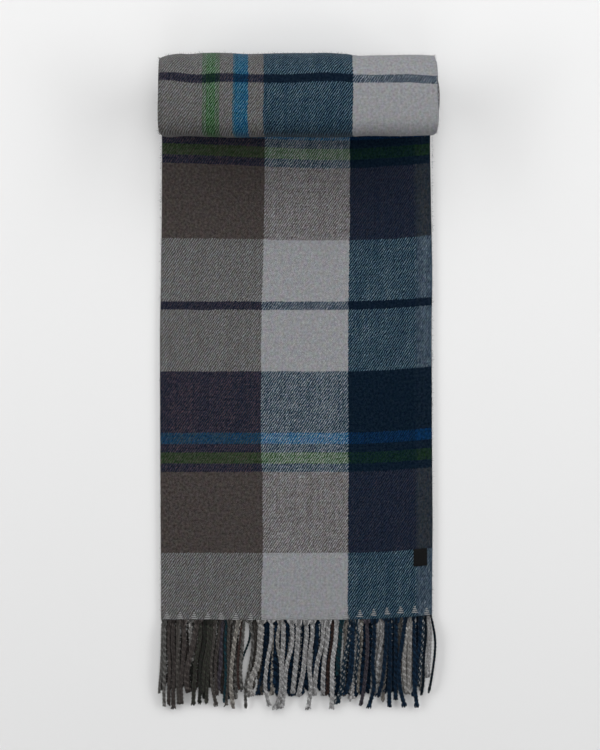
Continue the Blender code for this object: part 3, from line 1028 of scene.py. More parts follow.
# Middle of each tassel at the hem, 26, 58 and 87 mm below it and at its tip; its length below
# the hem, its width, its yarn and how far its tip splays.
Tassel = namedtuple("Tassel", "hem_x x26 x58 x87 tip_x length width yarn splay")
FRONT_TASSELS = rows_of(
    Tassel,
    (-0.1775, -0.1781, -0.1791, -0.1815, -0.1822, 0.0942, 0.0048, "ash", 0.25),
    (-0.1743, -0.1750, -0.1754, -0.1757, -0.1759, 0.1123, 0.0057, "ash", 0.30),
    (-0.1694, -0.1697, -0.1686, -0.1692, -0.1694, 0.1102, 0.0059, "brown", 0.25),
    (-0.1643, -0.1638, -0.1632, -0.1634, -0.1637, 0.1145, 0.0069, "brown", 0.30),
    (-0.1576, -0.1581, -0.1576, -0.1576, -0.1565, 0.1095, 0.0073, "umber", 0.25),
    (-0.1517, -0.1498, -0.1517, -0.1546, -0.1538, 0.1082, 0.0075, "brown", 0.25),
    (-0.1317, -0.1371, -0.1452, -0.1457, -0.1436, 0.0937, 0.0091, "brown", 0.00),
    (-0.1285, -0.1301, -0.1349, -0.1371, -0.1382, 0.1095, 0.0066, "moss", 0.30),
    (-0.1231, -0.1242, -0.1285, -0.1296, -0.1306, 0.1080, 0.0057, "dark", 0.30),
    (-0.1177, -0.1188, -0.1231, -0.1252, -0.1258, 0.0964, 0.0071, "moss", 0.20),
    (-0.1134, -0.1155, -0.1188, -0.1204, -0.1209, 0.1077, 0.0055, "moss", 0.30),
    (-0.1091, -0.1118, -0.1145, -0.1134, -0.1085, 0.1114, 0.0059, "umber", 0.30),
    (-0.1026, -0.1053, -0.1091, -0.1085, -0.1069, 0.0974, 0.0057, "brown", 0.25),
    (-0.0994, -0.1026, -0.1031, -0.1053, -0.1053, 0.0915, 0.0069, "plum", 0.10),
    (-0.0951, -0.0967, -0.0961, -0.0970, -0.0978, 0.1071, 0.0046, "teal", 0.10),
    (-0.0914, -0.0925, -0.0925, -0.0936, -0.0957, 0.1114, 0.0051, "umber", 0.30),
    (-0.0790, -0.0844, -0.0882, -0.0892, -0.0866, 0.1136, 0.0066, "stone", 0.30),
    (-0.0752, -0.0774, -0.0806, -0.0795, -0.0785, 0.0899, 0.0041, "russet", 0.20),
    (-0.0725, -0.0742, -0.0768, -0.0758, -0.0742, 0.0899, 0.0057, "ash", 0.20),
    (-0.0655, -0.0612, -0.0645, -0.0704, -0.0701, 0.1138, 0.0048, "ash", 0.30),
    (-0.0499, -0.0513, -0.0553, -0.0655, -0.0634, 0.0991, 0.0101, "dove", 0.30),
    (-0.0370, -0.0375, -0.0429, -0.0451, -0.0397, 0.1114, 0.0059, "grey", 0.50),
    (-0.0257, -0.0287, -0.0251, -0.0246, -0.0251, 0.1131, 0.0057, "dove", 0.40),
    (-0.0213, -0.0219, -0.0233, -0.0240, -0.0310, 0.1147, 0.0075, "grey", 0.80),
    (-0.0106, -0.0100, -0.0170, -0.0197, -0.0240, 0.1131, 0.0071, "grey", 0.40),
    (-0.0017, -0.0026, -0.0060, -0.0082, -0.0095, 0.0955, 0.0078, "grey", 0.00),
    (0.0082, 0.0082, 0.0050, 0.0001, -0.0015, 0.0985, 0.0075, "grey", 0.20),
    (0.0163, 0.0152, 0.0116, 0.0136, 0.0114, 0.1149, 0.0071, "grey", 0.90),
    (0.0297, 0.0297, 0.0217, 0.0190, 0.0179, 0.0985, 0.0073, "grey", 0.20),
    (0.0368, 0.0351, 0.0308, 0.0297, 0.0297, 0.0980, 0.0071, "grey", 0.00),
    (0.0481, 0.0461, 0.0418, 0.0416, 0.0411, 0.1145, 0.0073, "grey", 0.60),
    (0.0537, 0.0515, 0.0494, 0.0494, 0.0475, 0.0718, 0.0073, "teal", 0.10),
    (0.0664, 0.0632, 0.0567, 0.0545, 0.0470, 0.1088, 0.0080, "slate", 0.30),
    (0.0675, 0.0675, 0.0664, 0.0610, 0.0556, 0.0974, 0.0091, "navy", 0.20),
    (0.0718, 0.0756, 0.0734, 0.0718, 0.0718, 0.0818, 0.0057, "slate", 0.20),
    (0.0867, 0.0867, 0.0867, 0.0823, 0.0786, 0.1109, 0.0059, "plum", 0.30),
    (0.0964, 0.0958, 0.0942, 0.0953, 0.0890, 0.1152, 0.0066, "navy", 0.30),
    (0.1114, 0.1114, 0.1095, 0.1044, 0.1005, 0.1009, 0.0064, "navy", 0.20),
    (0.1163, 0.1168, 0.1160, 0.1158, 0.1158, 0.1149, 0.0071, "navy", 0.00),
    (0.1244, 0.1242, 0.1242, 0.1238, 0.1238, 0.1061, 0.0071, "navy", 0.00),
    (0.1373, 0.1335, 0.1276, 0.1292, 0.1349, 0.1152, 0.0069, "navy", 0.30),
    (0.1405, 0.1373, 0.1341, 0.1362, 0.1373, 0.0985, 0.0071, "dove", 0.20),
    (0.1438, 0.1422, 0.1414, 0.1411, 0.1405, 0.0996, 0.0069, "dove", 0.20),
    (0.1470, 0.1472, 0.1479, 0.1483, 0.1509, 0.1168, 0.0066, "navy", 0.30),
    (0.1556, 0.1551, 0.1519, 0.1492, 0.1459, 0.1039, 0.0071, "navy", 0.20),
    (0.1594, 0.1594, 0.1562, 0.1546, 0.1546, 0.0920, 0.0046, "slate", 0.20),
    (0.1621, 0.1623, 0.1602, 0.1587, 0.1569, 0.1023, 0.0048, "ink", 0.20),
    (0.1664, 0.1677, 0.1664, 0.1653, 0.1651, 0.0797, 0.0075, "grey", 0.30),
    (0.1694, 0.1742, 0.1731, 0.1694, 0.1664, 0.1005, 0.0041, "ink", 0.20),
)
BACK_TASSELS = rows_of(
    Tassel,
    (-0.1420, -0.1414, -0.1418, -0.1414, -0.1414, 0.0651, 0.0078, "dove", 0.10),
    (-0.1349, -0.1382, -0.1403, -0.1393, -0.1382, 0.0867, 0.0071, "dark", 0.10),
    (-0.1199, -0.1220, -0.1242, -0.1231, -0.1242, 0.1017, 0.0071, "dark", 0.20),
    (-0.0940, -0.0940, -0.0918, -0.0913, -0.0918, 0.1017, 0.0066, "teal", 0.20),
    (-0.0849, -0.0855, -0.0839, -0.0833, -0.0839, 0.1028, 0.0071, "ash", 0.20),
    (-0.0640, -0.0655, -0.0760, -0.0770, -0.0760, 0.0930, 0.0034, "teal", 0.20),
    (-0.0580, -0.0584, -0.0600, -0.0642, -0.0630, 0.0974, 0.0071, "umber", 0.20),
    (-0.0451, -0.0451, -0.0472, -0.0526, -0.0548, 0.0974, 0.0071, "navy", 0.20),
    (-0.0354, -0.0354, -0.0354, -0.0364, -0.0364, 0.0974, 0.0066, "stone", 0.10),
    (-0.0294, -0.0310, -0.0327, -0.0321, -0.0354, 0.0845, 0.0100, "navy", 0.20),
    (-0.0160, -0.0165, -0.0213, -0.0267, -0.0289, 0.0996, 0.0071, "navy", 0.20),
    (-0.0037, -0.0047, -0.0058, -0.0069, -0.0058, 0.0974, 0.0071, "navy", 0.20),
    (0.0217, 0.0217, 0.0190, 0.0168, 0.0157, 0.0974, 0.0076, "navy", 0.20),
    (0.0421, 0.0416, 0.0373, 0.0351, 0.0341, 0.0974, 0.0071, "russet", 0.20),
    (0.0594, 0.0588, 0.0578, 0.0572, 0.0567, 0.0985, 0.0062, "stone", 0.20),
    (0.0772, 0.0729, 0.0686, 0.0664, 0.0664, 0.1039, 0.0095, "grey", 0.40),
    (0.0795, 0.0798, 0.0772, 0.0750, 0.0750, 0.0974, 0.0055, "stone", 0.20),
    (0.1071, 0.1058, 0.1009, 0.0998, 0.0998, 0.0834, 0.0078, "grey", 0.20),
    (0.1125, 0.1114, 0.1109, 0.1093, 0.1071, 0.1074, 0.0055, "stone", 0.20),
    (0.1303, 0.1303, 0.1276, 0.1255, 0.1244, 0.0974, 0.0071, "ash", 0.20),
)
# More bunches fill the back half's row behind those, set by its warp: each yarn runs up to a place.
Fill = namedtuple("Fill", "ends yarn")
FILLS = rows_of(
    Fill,
    (-0.1220, "brown"),
    (-0.1000, "moss"),
    (-0.0800, "brown"),
    (-0.0630, "teal"),
    (-0.0480, "umber"),
    (0.0960, "navy"),
    (0.1130, "grey"),
    (0.1300, "navy"),
    (0.1480, "dove"),
    (0.1560, "navy"),
    (0.1800, "grey"),
)
FILL_PITCH = 0.0078
FILL_GAP = -0.0690  # middle of a gap in their row
FILL_GAP_HALF = 0.0050
FILL_LEAN = -0.0036  # how far their tips lean aside
# The yarns twisted together in a tassel: the first is in every so many strands, the second in the
# others. Where both are one yarn in a lighter and a darker shade, the two plies differ partly in
# their own tone and partly as painted highlight and shade along the twist.
Yarns = namedtuple("Yarns", "first second every")
TASSEL_YARNS_AND_PAINTED_LIGHT = {
    "ash": Yarns((0.160, 0.158, 0.152), (0.080, 0.077, 0.073), 2),
    "umber": Yarns((0.106, 0.098, 0.090), (0.066, 0.060, 0.055), 2),
    "brown": Yarns((0.074, 0.064, 0.060), (0.050, 0.043, 0.041), 2),
    "russet": Yarns((0.066, 0.040, 0.036), (0.048, 0.034, 0.031), 2),
    "moss": Yarns((0.052, 0.055, 0.044), (0.038, 0.036, 0.032), 2),
    "dark": Yarns((0.022, 0.026, 0.021), (0.032, 0.030, 0.028), 2),
    "plum": Yarns((0.066, 0.060, 0.074), (0.040, 0.035, 0.045), 2),
    "grey": Yarns((0.400, 0.400, 0.404), (0.270, 0.268, 0.270), 2),
    "dove": Yarns((0.350, 0.342, 0.332), (0.235, 0.228, 0.220), 2),
    "stone": Yarns((0.290, 0.276, 0.252), (0.190, 0.176, 0.160), 2),
    "slate": Yarns((0.340, 0.345, 0.350), (0.010, 0.026, 0.044), 4),
    "teal": Yarns((0.008, 0.042, 0.056), (0.014, 0.028, 0.036), 2),
    "navy": Yarns((0.0080, 0.0250, 0.0520), (0.0034, 0.0120, 0.0270), 2),
    "ink": Yarns((0.0035, 0.0110, 0.0200), (0.0028, 0.0070, 0.0130), 2),
}
MOST_STRANDS = 16  # numbers set aside for the strands of one tassel
PLY_OUT = 0.150  # from the cord's middle to a ply's, as a share of its width
STRAND_OUT = 0.170  # from a ply's middle to a strand's
STRAND_THICK = 0.165  # radius of a strand
CORD_PITCH = 0.0086  # length of one turn of the two plies
PLY_TURNS = 1.10  # turns of a ply, the other way, for each of the cord's
GROOVE_PAINTED_SHADE = 0.42  # painted shade in the grooves between the strands: the share of the dye's brightness left there
GROOVE_IN = 0.24  # from the cord's middle to the grooves, as a share of its width
GROOVE_OUT = 0.45  # and to its open surface


def make_tassel_wool():
    """The tassels' finish: soft yarn, dyed by strand with painted shade in its grooves, with fine twisted
    fibres.
    """
    finish, loom, shader = new_finish("tassel_wool")
    dye = loom.node("ShaderNodeAttribute", {"attribute_name": "dye"})
    lie = loom.node("ShaderNodeUVMap", {"uv_map": "Weave"})
    around, along = loom.split(lie)
    fibre = loom.noise(lie, (9.0, 900.0), 2.0)
    slub = loom.noise(lie, (2.0, 110.0), 2.0)
    twist = (around * 2 + along / 0.0030).wave()
    tone = 0.98 + (fibre - 0.5) * 1.9 + (slub - 0.5) * 0.8 + twist * 0.16
    height = twist * 0.6 + fibre
    sockets = {
        "Base Color": loom.scaled(dye, tone),
        "Normal": loom.bump(0.6, 0.0003, height),
        "Roughness": 0.84 + fibre * 0.12,
        "Specular IOR Level": 0.05,
        "Sheen Weight": 0.10,
        "Sheen Roughness": 0.40,
    }
    loom.fill(shader, sockets)
    return finish


tassel_wool = make_tassel_wool()


def new_tree(name, inputs):
    """A tree that grows pieces on guides: the loom of it, and the lead of its inputs."""
    tree = bpy.data.node_groups.new(name, "GeometryNodeTree")
    for title, kind in (("Guides", "Geometry"), *inputs.items()):
        tree.interface.new_socket(title, in_out="INPUT", socket_type="NodeSocket" + kind)
    tree.interface.new_socket("Grown", in_out="OUTPUT", socket_type="NodeSocketGeometry")
    loom = Loom(tree)
    return loom, loom.node("NodeGroupInput")


def read_mark(loom, name):
    """A number that each guide point carries."""
    return loom.node("GeometryNodeInputNamedAttribute", {"data_type": "FLOAT"}, {"Name": name})


def keep_mark(loom, geometry, name, value, kind="FLOAT"):
    """Lets the points of a geometry carry a number or a place."""
    settings = {"data_type": kind, "domain": "POINT"}
    sockets = {"Geometry": geometry, "Name": name, "Value": value}
    return loom.node("GeometryNodeStoreNamedAttribute", settings, sockets)


def end_tree(loom, given, mesh):
    """The end of a tree: its mesh, in the yarn that it was given."""
    sockets = {"Geometry": mesh, "Material": given.other("Yarn")}
    loom.node("NodeGroupOutput", None, [loom.node("GeometryNodeSetMaterial", None, sockets)])
    return loom.tree


def make_tassel_tree():
    """Strands twisted in two plies along each guide line, fanned out at the hem."""
    sizes = {"Strands": "Int", "Sides": "Int", "Ply turns": "Float", "Flatness": "Float"}
    loom, given = new_tree("twisted_tassels", {**sizes, "Yarn": "Material"})
    lines = loom.node("GeometryNodeMeshToCurve", None, [given])
    copies = loom.node(
        "GeometryNodeDuplicateElements",
        {"domain": "SPLINE"},
        {"Geometry": lines, "Amount": given.other("Strands")},
    )
    strand = copies.other("Duplicate Index")
    ply = strand % 2
    quarter = (strand / 2).floor()
    width, gather, opened, number, turn = (
        read_mark(loom, name) for name in ("width", "gather", "opened", "number", "turn")
    )
    chance = loom.node(
        "FunctionNodeRandomValue",
        {"data_type": "FLOAT"},
        {2: -1.0, 3: 1.0, "ID": strand + number * MOST_STRANDS, "Seed": 5},
        1,
    )
    cord_turn = turn + ply * 0.5
    ply_turn = quarter * 0.25 - turn * given.other("Ply turns") + chance * 0.05
    ply_out = width * PLY_OUT * opened
    strand_out = width * STRAND_OUT * opened
    side = ply_out * cord_turn.wave() + strand_out * ply_turn.wave()
    rise = ply_out * (cord_turn - 0.25).wave() + strand_out * (ply_turn - 0.25).wave()
    fan = ((strand + 0.5) / given.other("Strands") - 0.5) * read_mark(loom, "fan") * (1 - gather)
    side = side * gather + fan + chance * (opened - 1) * width * 0.25
    rise = rise * gather * given.other("Flatness")
    middle = loom.node("GeometryNodeInputPosition")
    cored = keep_mark(loom, copies, "core", middle, "FLOAT_VECTOR")
    tangent = loom.node("GeometryNodeInputTangent")
    sideways = loom.vector("NORMALIZE", loom.vector("CROSS_PRODUCT", tangent, (0.0, 0.0, 1.0)))
    step = loom.vector("ADD", loom.scaled(sideways, side), loom.join(0.0, 0.0, rise))
    offset = loom.vector("ADD", step, loom.scaled(tangent, chance * (opened - 1) * 0.004))
    moved = loom.node("GeometryNodeSetPosition", None, {"Geometry": cored, "Offset": offset})
    marked = keep_mark(loom, moved, "strand", strand + number * MOST_STRANDS)
    profile = loom.node(
        "GeometryNodeCurvePrimitiveCircle",
        {"mode": "RADIUS"},
        {"Resolution": given.other("Sides"), "Radius": 1.0},
    )
    count = loom.node("GeometryNodeSplineParameter", None, (), "Index")
    ringed = keep_mark(loom, profile, "around", count / given.other("Sides"))
    girth = read_mark(loom, "thick") * (1 + chance * 0.08)
    tubes = loom.node(
        "GeometryNodeCurveToMesh",
        None,
        {"Curve": marked, "Profile Curve": ringed, "Scale": girth, "Fill Caps": True},
    )
    smooth = loom.node("GeometryNodeSetShadeSmooth", None, {"Geometry": tubes})
    return end_tree(loom, given, loom.node("GeometryNodeRealizeInstances", None, [smooth]))


def grown(name, guide_mesh, tree, inputs):
    """Runs a geometry tree on a guide mesh, and gives the plain mesh that it grows."""
    seed_piece = put_down(name + "_guides", guide_mesh)
    grower = seed_piece.modifiers.new("grow", "NODES")
    grower.node_group = tree
    for item in tree.interface.items_tree:
        if item.in_out == "INPUT" and item.name in inputs:
            grower[item.identifier] = inputs[item.name]
    bpy.context.view_layer.update()
    shown = seed_piece.evaluated_get(bpy.context.evaluated_depsgraph_get())
    mesh = bpy.data.meshes.new_from_object(shown)
    mesh.name = name
    bpy.data.objects.remove(seed_piece)
    return put_down(name, mesh)


tassel_tree = make_tassel_tree()

# Height of a tassel's middle over the table, by the share of its length.
Level = namedtuple("Level", "share front back fill")
TASSEL_LEVELS = rows_of(
    Level,
    (0.00, 0.0045, 0.0014, 0.0012),
    (0.05, 0.0054, 0.0024, 0.0014),
    (0.13, 0.0068, 0.0035, 0.0016),
    (0.50, 0.0074, 0.0037, 0.0018),
    (0.82, 0.0070, 0.0035, 0.0018),
    (0.93, 0.0058, 0.0030, 0.0018),
    (1.00, 0.0042, 0.0026, 0.0018),
)
INTO_HEM = 0.0034  # how far a tassel's guide line starts inside the cloth
WIDEST_FAN = 0.0135  # how wide its warp ends fan out at the hem, at most
SWAY = 0.0006  # how far a tassel strays from its line
STEADY = 0.020  # how far below the hem it strays in full
FRAY_OPENS = 0.12  # how much wider every tassel's tip is
TAPER = 0.0025  # length over which the strands thin to their cut ends
MAP_REACH = 0.125  # a strand's length on the bake
LEAST_HEIGHT = 0.0002
# How finely each row's tassels are made: strands in each, sides to a strand, the step along it, how
# flat they lie, and how much each one rises over or sinks under its neighbours.
Fineness = namedtuple("Fineness", "strands sides step flatness stagger")
FRONT_FINE = Fineness(8, 5, 0.00148, 0.80, 0.0007)
BACK_FINE = Fineness(6, 5, 0.00190, 0.70, 0.0004)
FILL_FINE = Fineness(4, 5, 0.00220, 0.50, 0.0002)


# A point on a tassel's line: how far it is below the hem, and its place across.
Place = namedtuple("Place", "down x")


def build_tassels(name, rows, level, fine, seed, first_hem, last_hem):
    """A run of tassels as one piece. The first and last hem places bound the outer ones' fans."""
    toss = random.Random(seed)
    points = []
    edges = []
    marks = []
    hems = [first_hem, *(row.hem_x for row in rows), last_hem]
    for number, row in enumerate(rows):
        spots = [0.0, 0.026, 0.058, min(0.087, row.length - 0.008), row.length]
        line = [Place(*pair) for pair in zip(spots, (row.hem_x, row.x26, row.x58, row.x87, row.tip_x))]
        downs = np.append(np.arange(-INTO_HEM, row.length - fine.step / 2, fine.step), row.length)
        steady = np.clip(downs / STEADY, 0, 1)
        sway = toss.uniform(-SWAY, SWAY) * np.sin(downs / 0.011 + toss.uniform(0, 6)) * steady
        xs = column(line, "down", "x", np.maximum(downs, 0)) + sway
        ys = HEM_Y + weft_bow(row.hem_x, 0.0) - downs
        share = np.clip(downs / row.length, 0, 1)
        zs = column(TASSEL_LEVELS, "share", level, share) + toss.uniform(-1, 1) * fine.stagger * steady
        left = (hems[number] + row.hem_x) / 2 if number else hems[0]
        right = (hems[number + 2] + row.hem_x) / 2 if number + 1 < len(rows) else hems[-1]
        fan = min(WIDEST_FAN, right - left)
        gather = smooth_step((downs + 0.001) / toss.uniform(0.008, 0.013))
        fray = toss.uniform(0.006, 0.010)
        loosened = np.clip((downs - row.length + fray) / fray, 0, 1) ** 1.4
        opened = 1 + loosened * (FRAY_OPENS + row.splay * toss.uniform(0.8, 1.1))
        rate = (0.25 + 0.75 * gather) * (1 - 0.7 * loosened) / (CORD_PITCH * toss.uniform(0.88, 1.18))
        turn = toss.uniform(0, 1) + np.cumsum(rate) * fine.step
        thick = fan / fine.strands * 0.60 * (1 - gather) + row.width * STRAND_THICK * gather
        thick = thick * math.sqrt(8 / fine.strands) ** gather
        thick = thick * (1 - np.clip((downs - row.length + TAPER) / TAPER, 0, 1) * 0.35)
        start = len(points)
        points += np.stack([xs, ys, zs], -1).tolist()
        edges += [(start + i, start + i + 1) for i in range(len(downs) - 1)]
        even = np.ones(len(downs))
        marks.append(
            (downs + INTO_HEM, row.width * even, gather, opened, turn, number * even, fan * even, thick)
        )
    guides = bpy.data.meshes.new(name + "_lines")
    guides.from_pydata(points, edges, [])
    names = ("reach", "width", "gather", "opened", "turn", "number", "fan", "thick")
    for key, values in zip(names, zip(*marks)):
        guides.attributes.new(key, "FLOAT", "POINT").data.foreach_set("value", np.concatenate(values))
    inputs = {
        "Strands": fine.strands,
        "Sides": fine.sides,
        "Ply turns": PLY_TURNS,
        "Flatness": fine.flatness,
        "Yarn": tassel_wool,
    }
    piece = grown(name, guides, tassel_tree, inputs)
    settle(piece)
    dye_and_shade_tassels(piece, rows, fine, toss)
    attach(piece, "root")
    return piece


def read_all(items, key, each=1, kind=float):
    """The numbers that the points, corners or faces of a mesh carry, in one row."""
    values = np.zeros(len(items) * each, kind)
    items.foreach_get(key, values)
    return values


def settle(piece):
    """Presses whatever is under the table top back up to it."""
    spots = read_all(piece.data.vertices, "co", 3)
    spots[2::3] = np.maximum(spots[2::3], LEAST_HEIGHT)
    piece.data.vertices.foreach_set("co", spots)


def dye_and_shade_tassels(piece, rows, fine, toss):
    """Gives each strand its dye, darkened towards the cord's middle as painted shade in the grooves, and
    its places on the two maps.
    """
    mesh = piece.data
    strand, around, reach, width = (
        read_all(mesh.attributes[name].data, "value", 1, np.float32)
        for name in ("strand", "around", "reach", "width")
    )
    strand = np.rint(strand).astype(int)
    dyes = np.zeros((len(rows) * MOST_STRANDS, 3))
    for number, row in enumerate(rows):
        yarns = TASSEL_YARNS_AND_PAINTED_LIGHT[row.yarn]
        for turn in range(MOST_STRANDS):
            base = np.array(yarns.second if turn % yarns.every else yarns.first)
            dyes[number * MOST_STRANDS + turn] = base * toss.uniform(0.72, 1.30)
    spots = read_all(mesh.vertices, "co", 3)
    cores = read_all(mesh.attributes["core"].data, "vector", 3, np.float32)
    # Painted shade: the dye is darkened where a point lies deep in the grooves between the strands.
    away = np.linalg.norm((spots - cores).reshape(-1, 3), axis=1) / width
    unshaded_share = smooth_step((away - GROOVE_IN) / (GROOVE_OUT - GROOVE_IN))
    colours = np.ones((len(strand), 4), np.float32)
    colours[:, :3] = dyes[strand] * (GROOVE_PAINTED_SHADE + (1 - GROOVE_PAINTED_SHADE) * unshaded_share)[:, None]
    layer = mesh.attributes.new("dye", "FLOAT_COLOR", "POINT")
    layer.data.foreach_set("color", colours.ravel())

    corner_point = read_all(mesh.loops, "vertex_index", 1, int)
    totals = read_all(mesh.polygons, "loop_total", 1, int)
    corner_face = np.repeat(np.arange(len(totals)), totals)
    spin = around[corner_point]
    highest = np.zeros(len(totals))
    np.maximum.at(highest, corner_face, spin)
    lowest = np.ones(len(totals))
    np.minimum.at(lowest, corner_face, spin)
    wraps = (highest - lowest > 0.5)[corner_face] & (totals[corner_face] == 4)
    spin = np.where(wraps & (spin < 0.5), spin + 1.0, spin)
    lane = ((strand // MOST_STRANDS) * fine.strands + strand % MOST_STRANDS)[corner_point]
    per_row = -(-len(rows) * fine.strands // 2)
    down = np.clip(reach[corner_point] / MAP_REACH, 0, 1)
    bake_u = (lane % per_row + 0.05 + 0.9 * spin) / per_row
    bake_v = (lane // per_row + 0.02 + 0.96 * down) / 2
    maps = {
        "OFBake": np.stack([bake_u, bake_v], -1),
        "Weave": np.stack([spin + lane * 3.7, reach[corner_point] + lane * 0.31], -1),
    }
    add_maps(mesh, maps)


def fill_rows():
    """The bunches behind the charted ones, evenly set but for small strays."""
    toss = random.Random(77)
    rows = []
    for place in np.arange(-0.1742, 0.1690, FILL_PITCH):
        if abs(place - FILL_GAP) < FILL_GAP_HALF:
            continue
        hem_x = place + toss.uniform(-0.0006, 0.0006)
        strays = [toss.uniform(-0.0012, 0.0012) for _ in range(4)]
        xs = [hem_x + FILL_LEAN * share + stray for share, stray in zip((0.2, 0.6, 0.9, 1.0), strays)]
        yarn = next(fill.yarn for fill in FILLS if place < fill.ends)
        length = toss.uniform(0.086, 0.096) + (0.005 if place > FILL_GAP else 0.0)
        rows.append(Tassel(hem_x, *xs, length, toss.uniform(0.0086, 0.0094), yarn, 0.15))
    return rows


for name, rows, level, fine, seed, first_hem, last_hem, half in (
    ("fringe_front_left", FRONT_TASSELS[:24], "front", FRONT_FINE, 12, -0.1798, -0.0235, "fringe_upper"),
    ("fringe_front_right", FRONT_TASSELS[24:], "front", FRONT_FINE, 32, -0.0235, 0.1708, "fringe_upper"),
    ("fringe_back", BACK_TASSELS, "back", BACK_FINE, 27, -0.1500, 0.1400, "fringe_lower"),
    ("fringe_back_fill", fill_rows(), "fill", FILL_FINE, 28, -0.1785, 0.1700, "fringe_lower"),
):
    build_tassels(name, rows, level, fine, seed, first_hem, last_hem)
    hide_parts(half)


# ---------------------------------------------------------------------------
# The last picks at the hem
# Between bunches of tassels the warp is drawn aside, so the last few weft threads show as a small
# stack of bare bars, widest at the hem.
# ---------------------------------------------------------------------------

HEM_STACKS = (
    -0.1722, -0.1548, -0.1371, -0.1194, -0.1022, -0.0830, -0.0640, -0.0458, -0.0282, -0.0106,
    0.0070, 0.0246, 0.0422, 0.0598, 0.0776, 0.0953, 0.1125, 0.1300, 0.1481, 0.1640,
)
# How far over the hem the lowest bar of a stack is, by its place across.
StackRise = namedtuple("StackRise", "x rise")
STACK_RISES = rows_of(
    StackRise,
    (-0.1800, 0.0024),
    (0.0600, 0.0026),
    (0.0900, 0.0050),
    (0.1125, 0.0062),
    (0.1300, 0.0066),
    (0.1481, 0.0058),
    (0.1640, 0.0018),
)
BARS = 4
BAR_RISE = 0.0024
BAR_WIDTH = 0.0100
BAR_THICK = 0.0016
BAR_HIGH = 0.0011
BARE_WEFT = (0.250, 0.252, 0.255)


def make_hem_wool():
    """The bare weft threads: light grey yarn with a fine twist."""
    finish, loom, shader = new_finish("weft_wool")
    place = loom.node("ShaderNodeTexCoord", None, (), "Object")
    fibre = loom.noise(place, (500.0, 2200.0), 2.0)
    sockets = {
        "Base Color": loom.scaled(BARE_WEFT, 0.75 + fibre * 0.5),
        "Normal": loom.bump(0.4, 0.0002, fibre),
        "Roughness": 0.9,
        "Specular IOR Level": 0.10,
        "Sheen Weight": 0.06,
    }
    loom.fill(shader, sockets)
    return finish


def make_bar_tree():
    """One rounded bar of yarn on each guide point."""
    loom, given = new_tree("hem_bars", {"Thickness": "Float", "Height": "Float", "Yarn": "Material"})
    ball = loom.node("GeometryNodeMeshUVSphere", None, {"Segments": 8, "Rings": 5, "Radius": 0.5})
    size = loom.join(read_mark(loom, "width"), given.other("Thickness"), given.other("Height"))
    turned = loom.node("FunctionNodeEulerToRotation", None, [loom.join(0.0, 0.0, read_mark(loom, "tilt"))])
    bars = loom.node(
        "GeometryNodeInstanceOnPoints",
        None,
        {"Points": given, "Instance": ball, "Rotation": turned, "Scale": size},
    )
    whole = loom.node("GeometryNodeRealizeInstances", None, [bars])
    return end_tree(loom, given, loom.node("GeometryNodeSetShadeSmooth", None, {"Geometry": whole}))


def build_hem_picks():
    """The stacks of bars along the hem, each a little uneven in its places and widths."""
    jitter = random.Random(8)
    places = []
    widths = []
    tilts = []
    for stack_x in HEM_STACKS:
        scale = jitter.uniform(0.85, 1.1)
        for bar in range(BARS):
            x = stack_x + jitter.uniform(-0.0004, 0.0004)
            from_hem = column(STACK_RISES, "x", "rise", stack_x) + bar * BAR_RISE
            y = HEM_Y + from_hem + float(weft_bow(np.array(x), from_hem))
            places.append((x, y, LAYER + CLOTH + 0.00005))
            widths.append(BAR_WIDTH * scale * (1 - bar / (BARS + 0.4)))
            tilts.append(jitter.uniform(-0.10, 0.10))
    guides = bpy.data.meshes.new("hem_places")
    guides.from_pydata(places, [], [])
    guides.attributes.new("width", "FLOAT", "POINT").data.foreach_set("value", widths)
    guides.attributes.new("tilt", "FLOAT", "POINT").data.foreach_set("value", tilts)
    inputs = {"Thickness": BAR_THICK, "Height": BAR_HIGH, "Yarn": make_hem_wool()}
    return grown("hem_picks", guides, make_bar_tree(), inputs)


hem_picks = build_hem_picks()
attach(hem_picks, "root")


# ---------------------------------------------------------------------------
# Loose fibres at the edges
# Brushed wool sheds a thin haze of short curved fibres. They stand off the roll, its two ends, the
# fold and the selvedge.
# ---------------------------------------------------------------------------

# Where the fibres' colour changes across the cloth, on the flat stretch and on the roll.
Lint = namedtuple("Lint", "ends dye")
FLAT_LINT = rows_of(
    Lint,
    (-0.1000, (0.060, 0.055, 0.052)),
    (0.0670, (0.200, 0.200, 0.205)),
    (0.2000, (0.020, 0.030, 0.040)),
)
# On the roll the fibres are lighter than their yarns: partly paler loose wool, partly painted highlight
# where the fuzz catches the light at the roll's rim.
ROLL_LINT_HIGHLIGHT = rows_of(
    Lint,
    (-0.0480, (0.150, 0.145, 0.140)),
    (0.0670, (0.032, 0.052, 0.072)),
    (0.2000, (0.330, 0.325, 0.335)),
)
FIBRE_GIRTH = 0.00011
FIBRE_MEAN = 0.0013
FIBRE_SHORTEST = 0.0004
FIBRE_LONGEST = 0.0036
EDGE_FIBRES = 1100  # along the fold, and as many along the selvedge
EDGE_REACH = 0.625  # how far from the hem they grow
# A fibre is a spike on three sides: its foot, its lower walls and its tip, by the numbers of its
# seven points.
SPIKE_FACES = ((0, 2, 1), (0, 1, 4, 3), (1, 2, 5, 4), (2, 0, 3, 5), (3, 4, 6), (4, 5, 6), (5, 3, 6))


def make_loose_wool():
    """The loose fibres' finish: plain wool in the colour given to each fibre."""
    finish, loom, shader = new_finish("loose_wool")
    dye = loom.node("ShaderNodeAttribute", {"attribute_name": "dye"})
    loom.fill(shader, {"Base Color": dye, "Roughness": 0.95, "Specular IOR Level": 0.05})
    return finish


loose_wool = make_loose_wool()


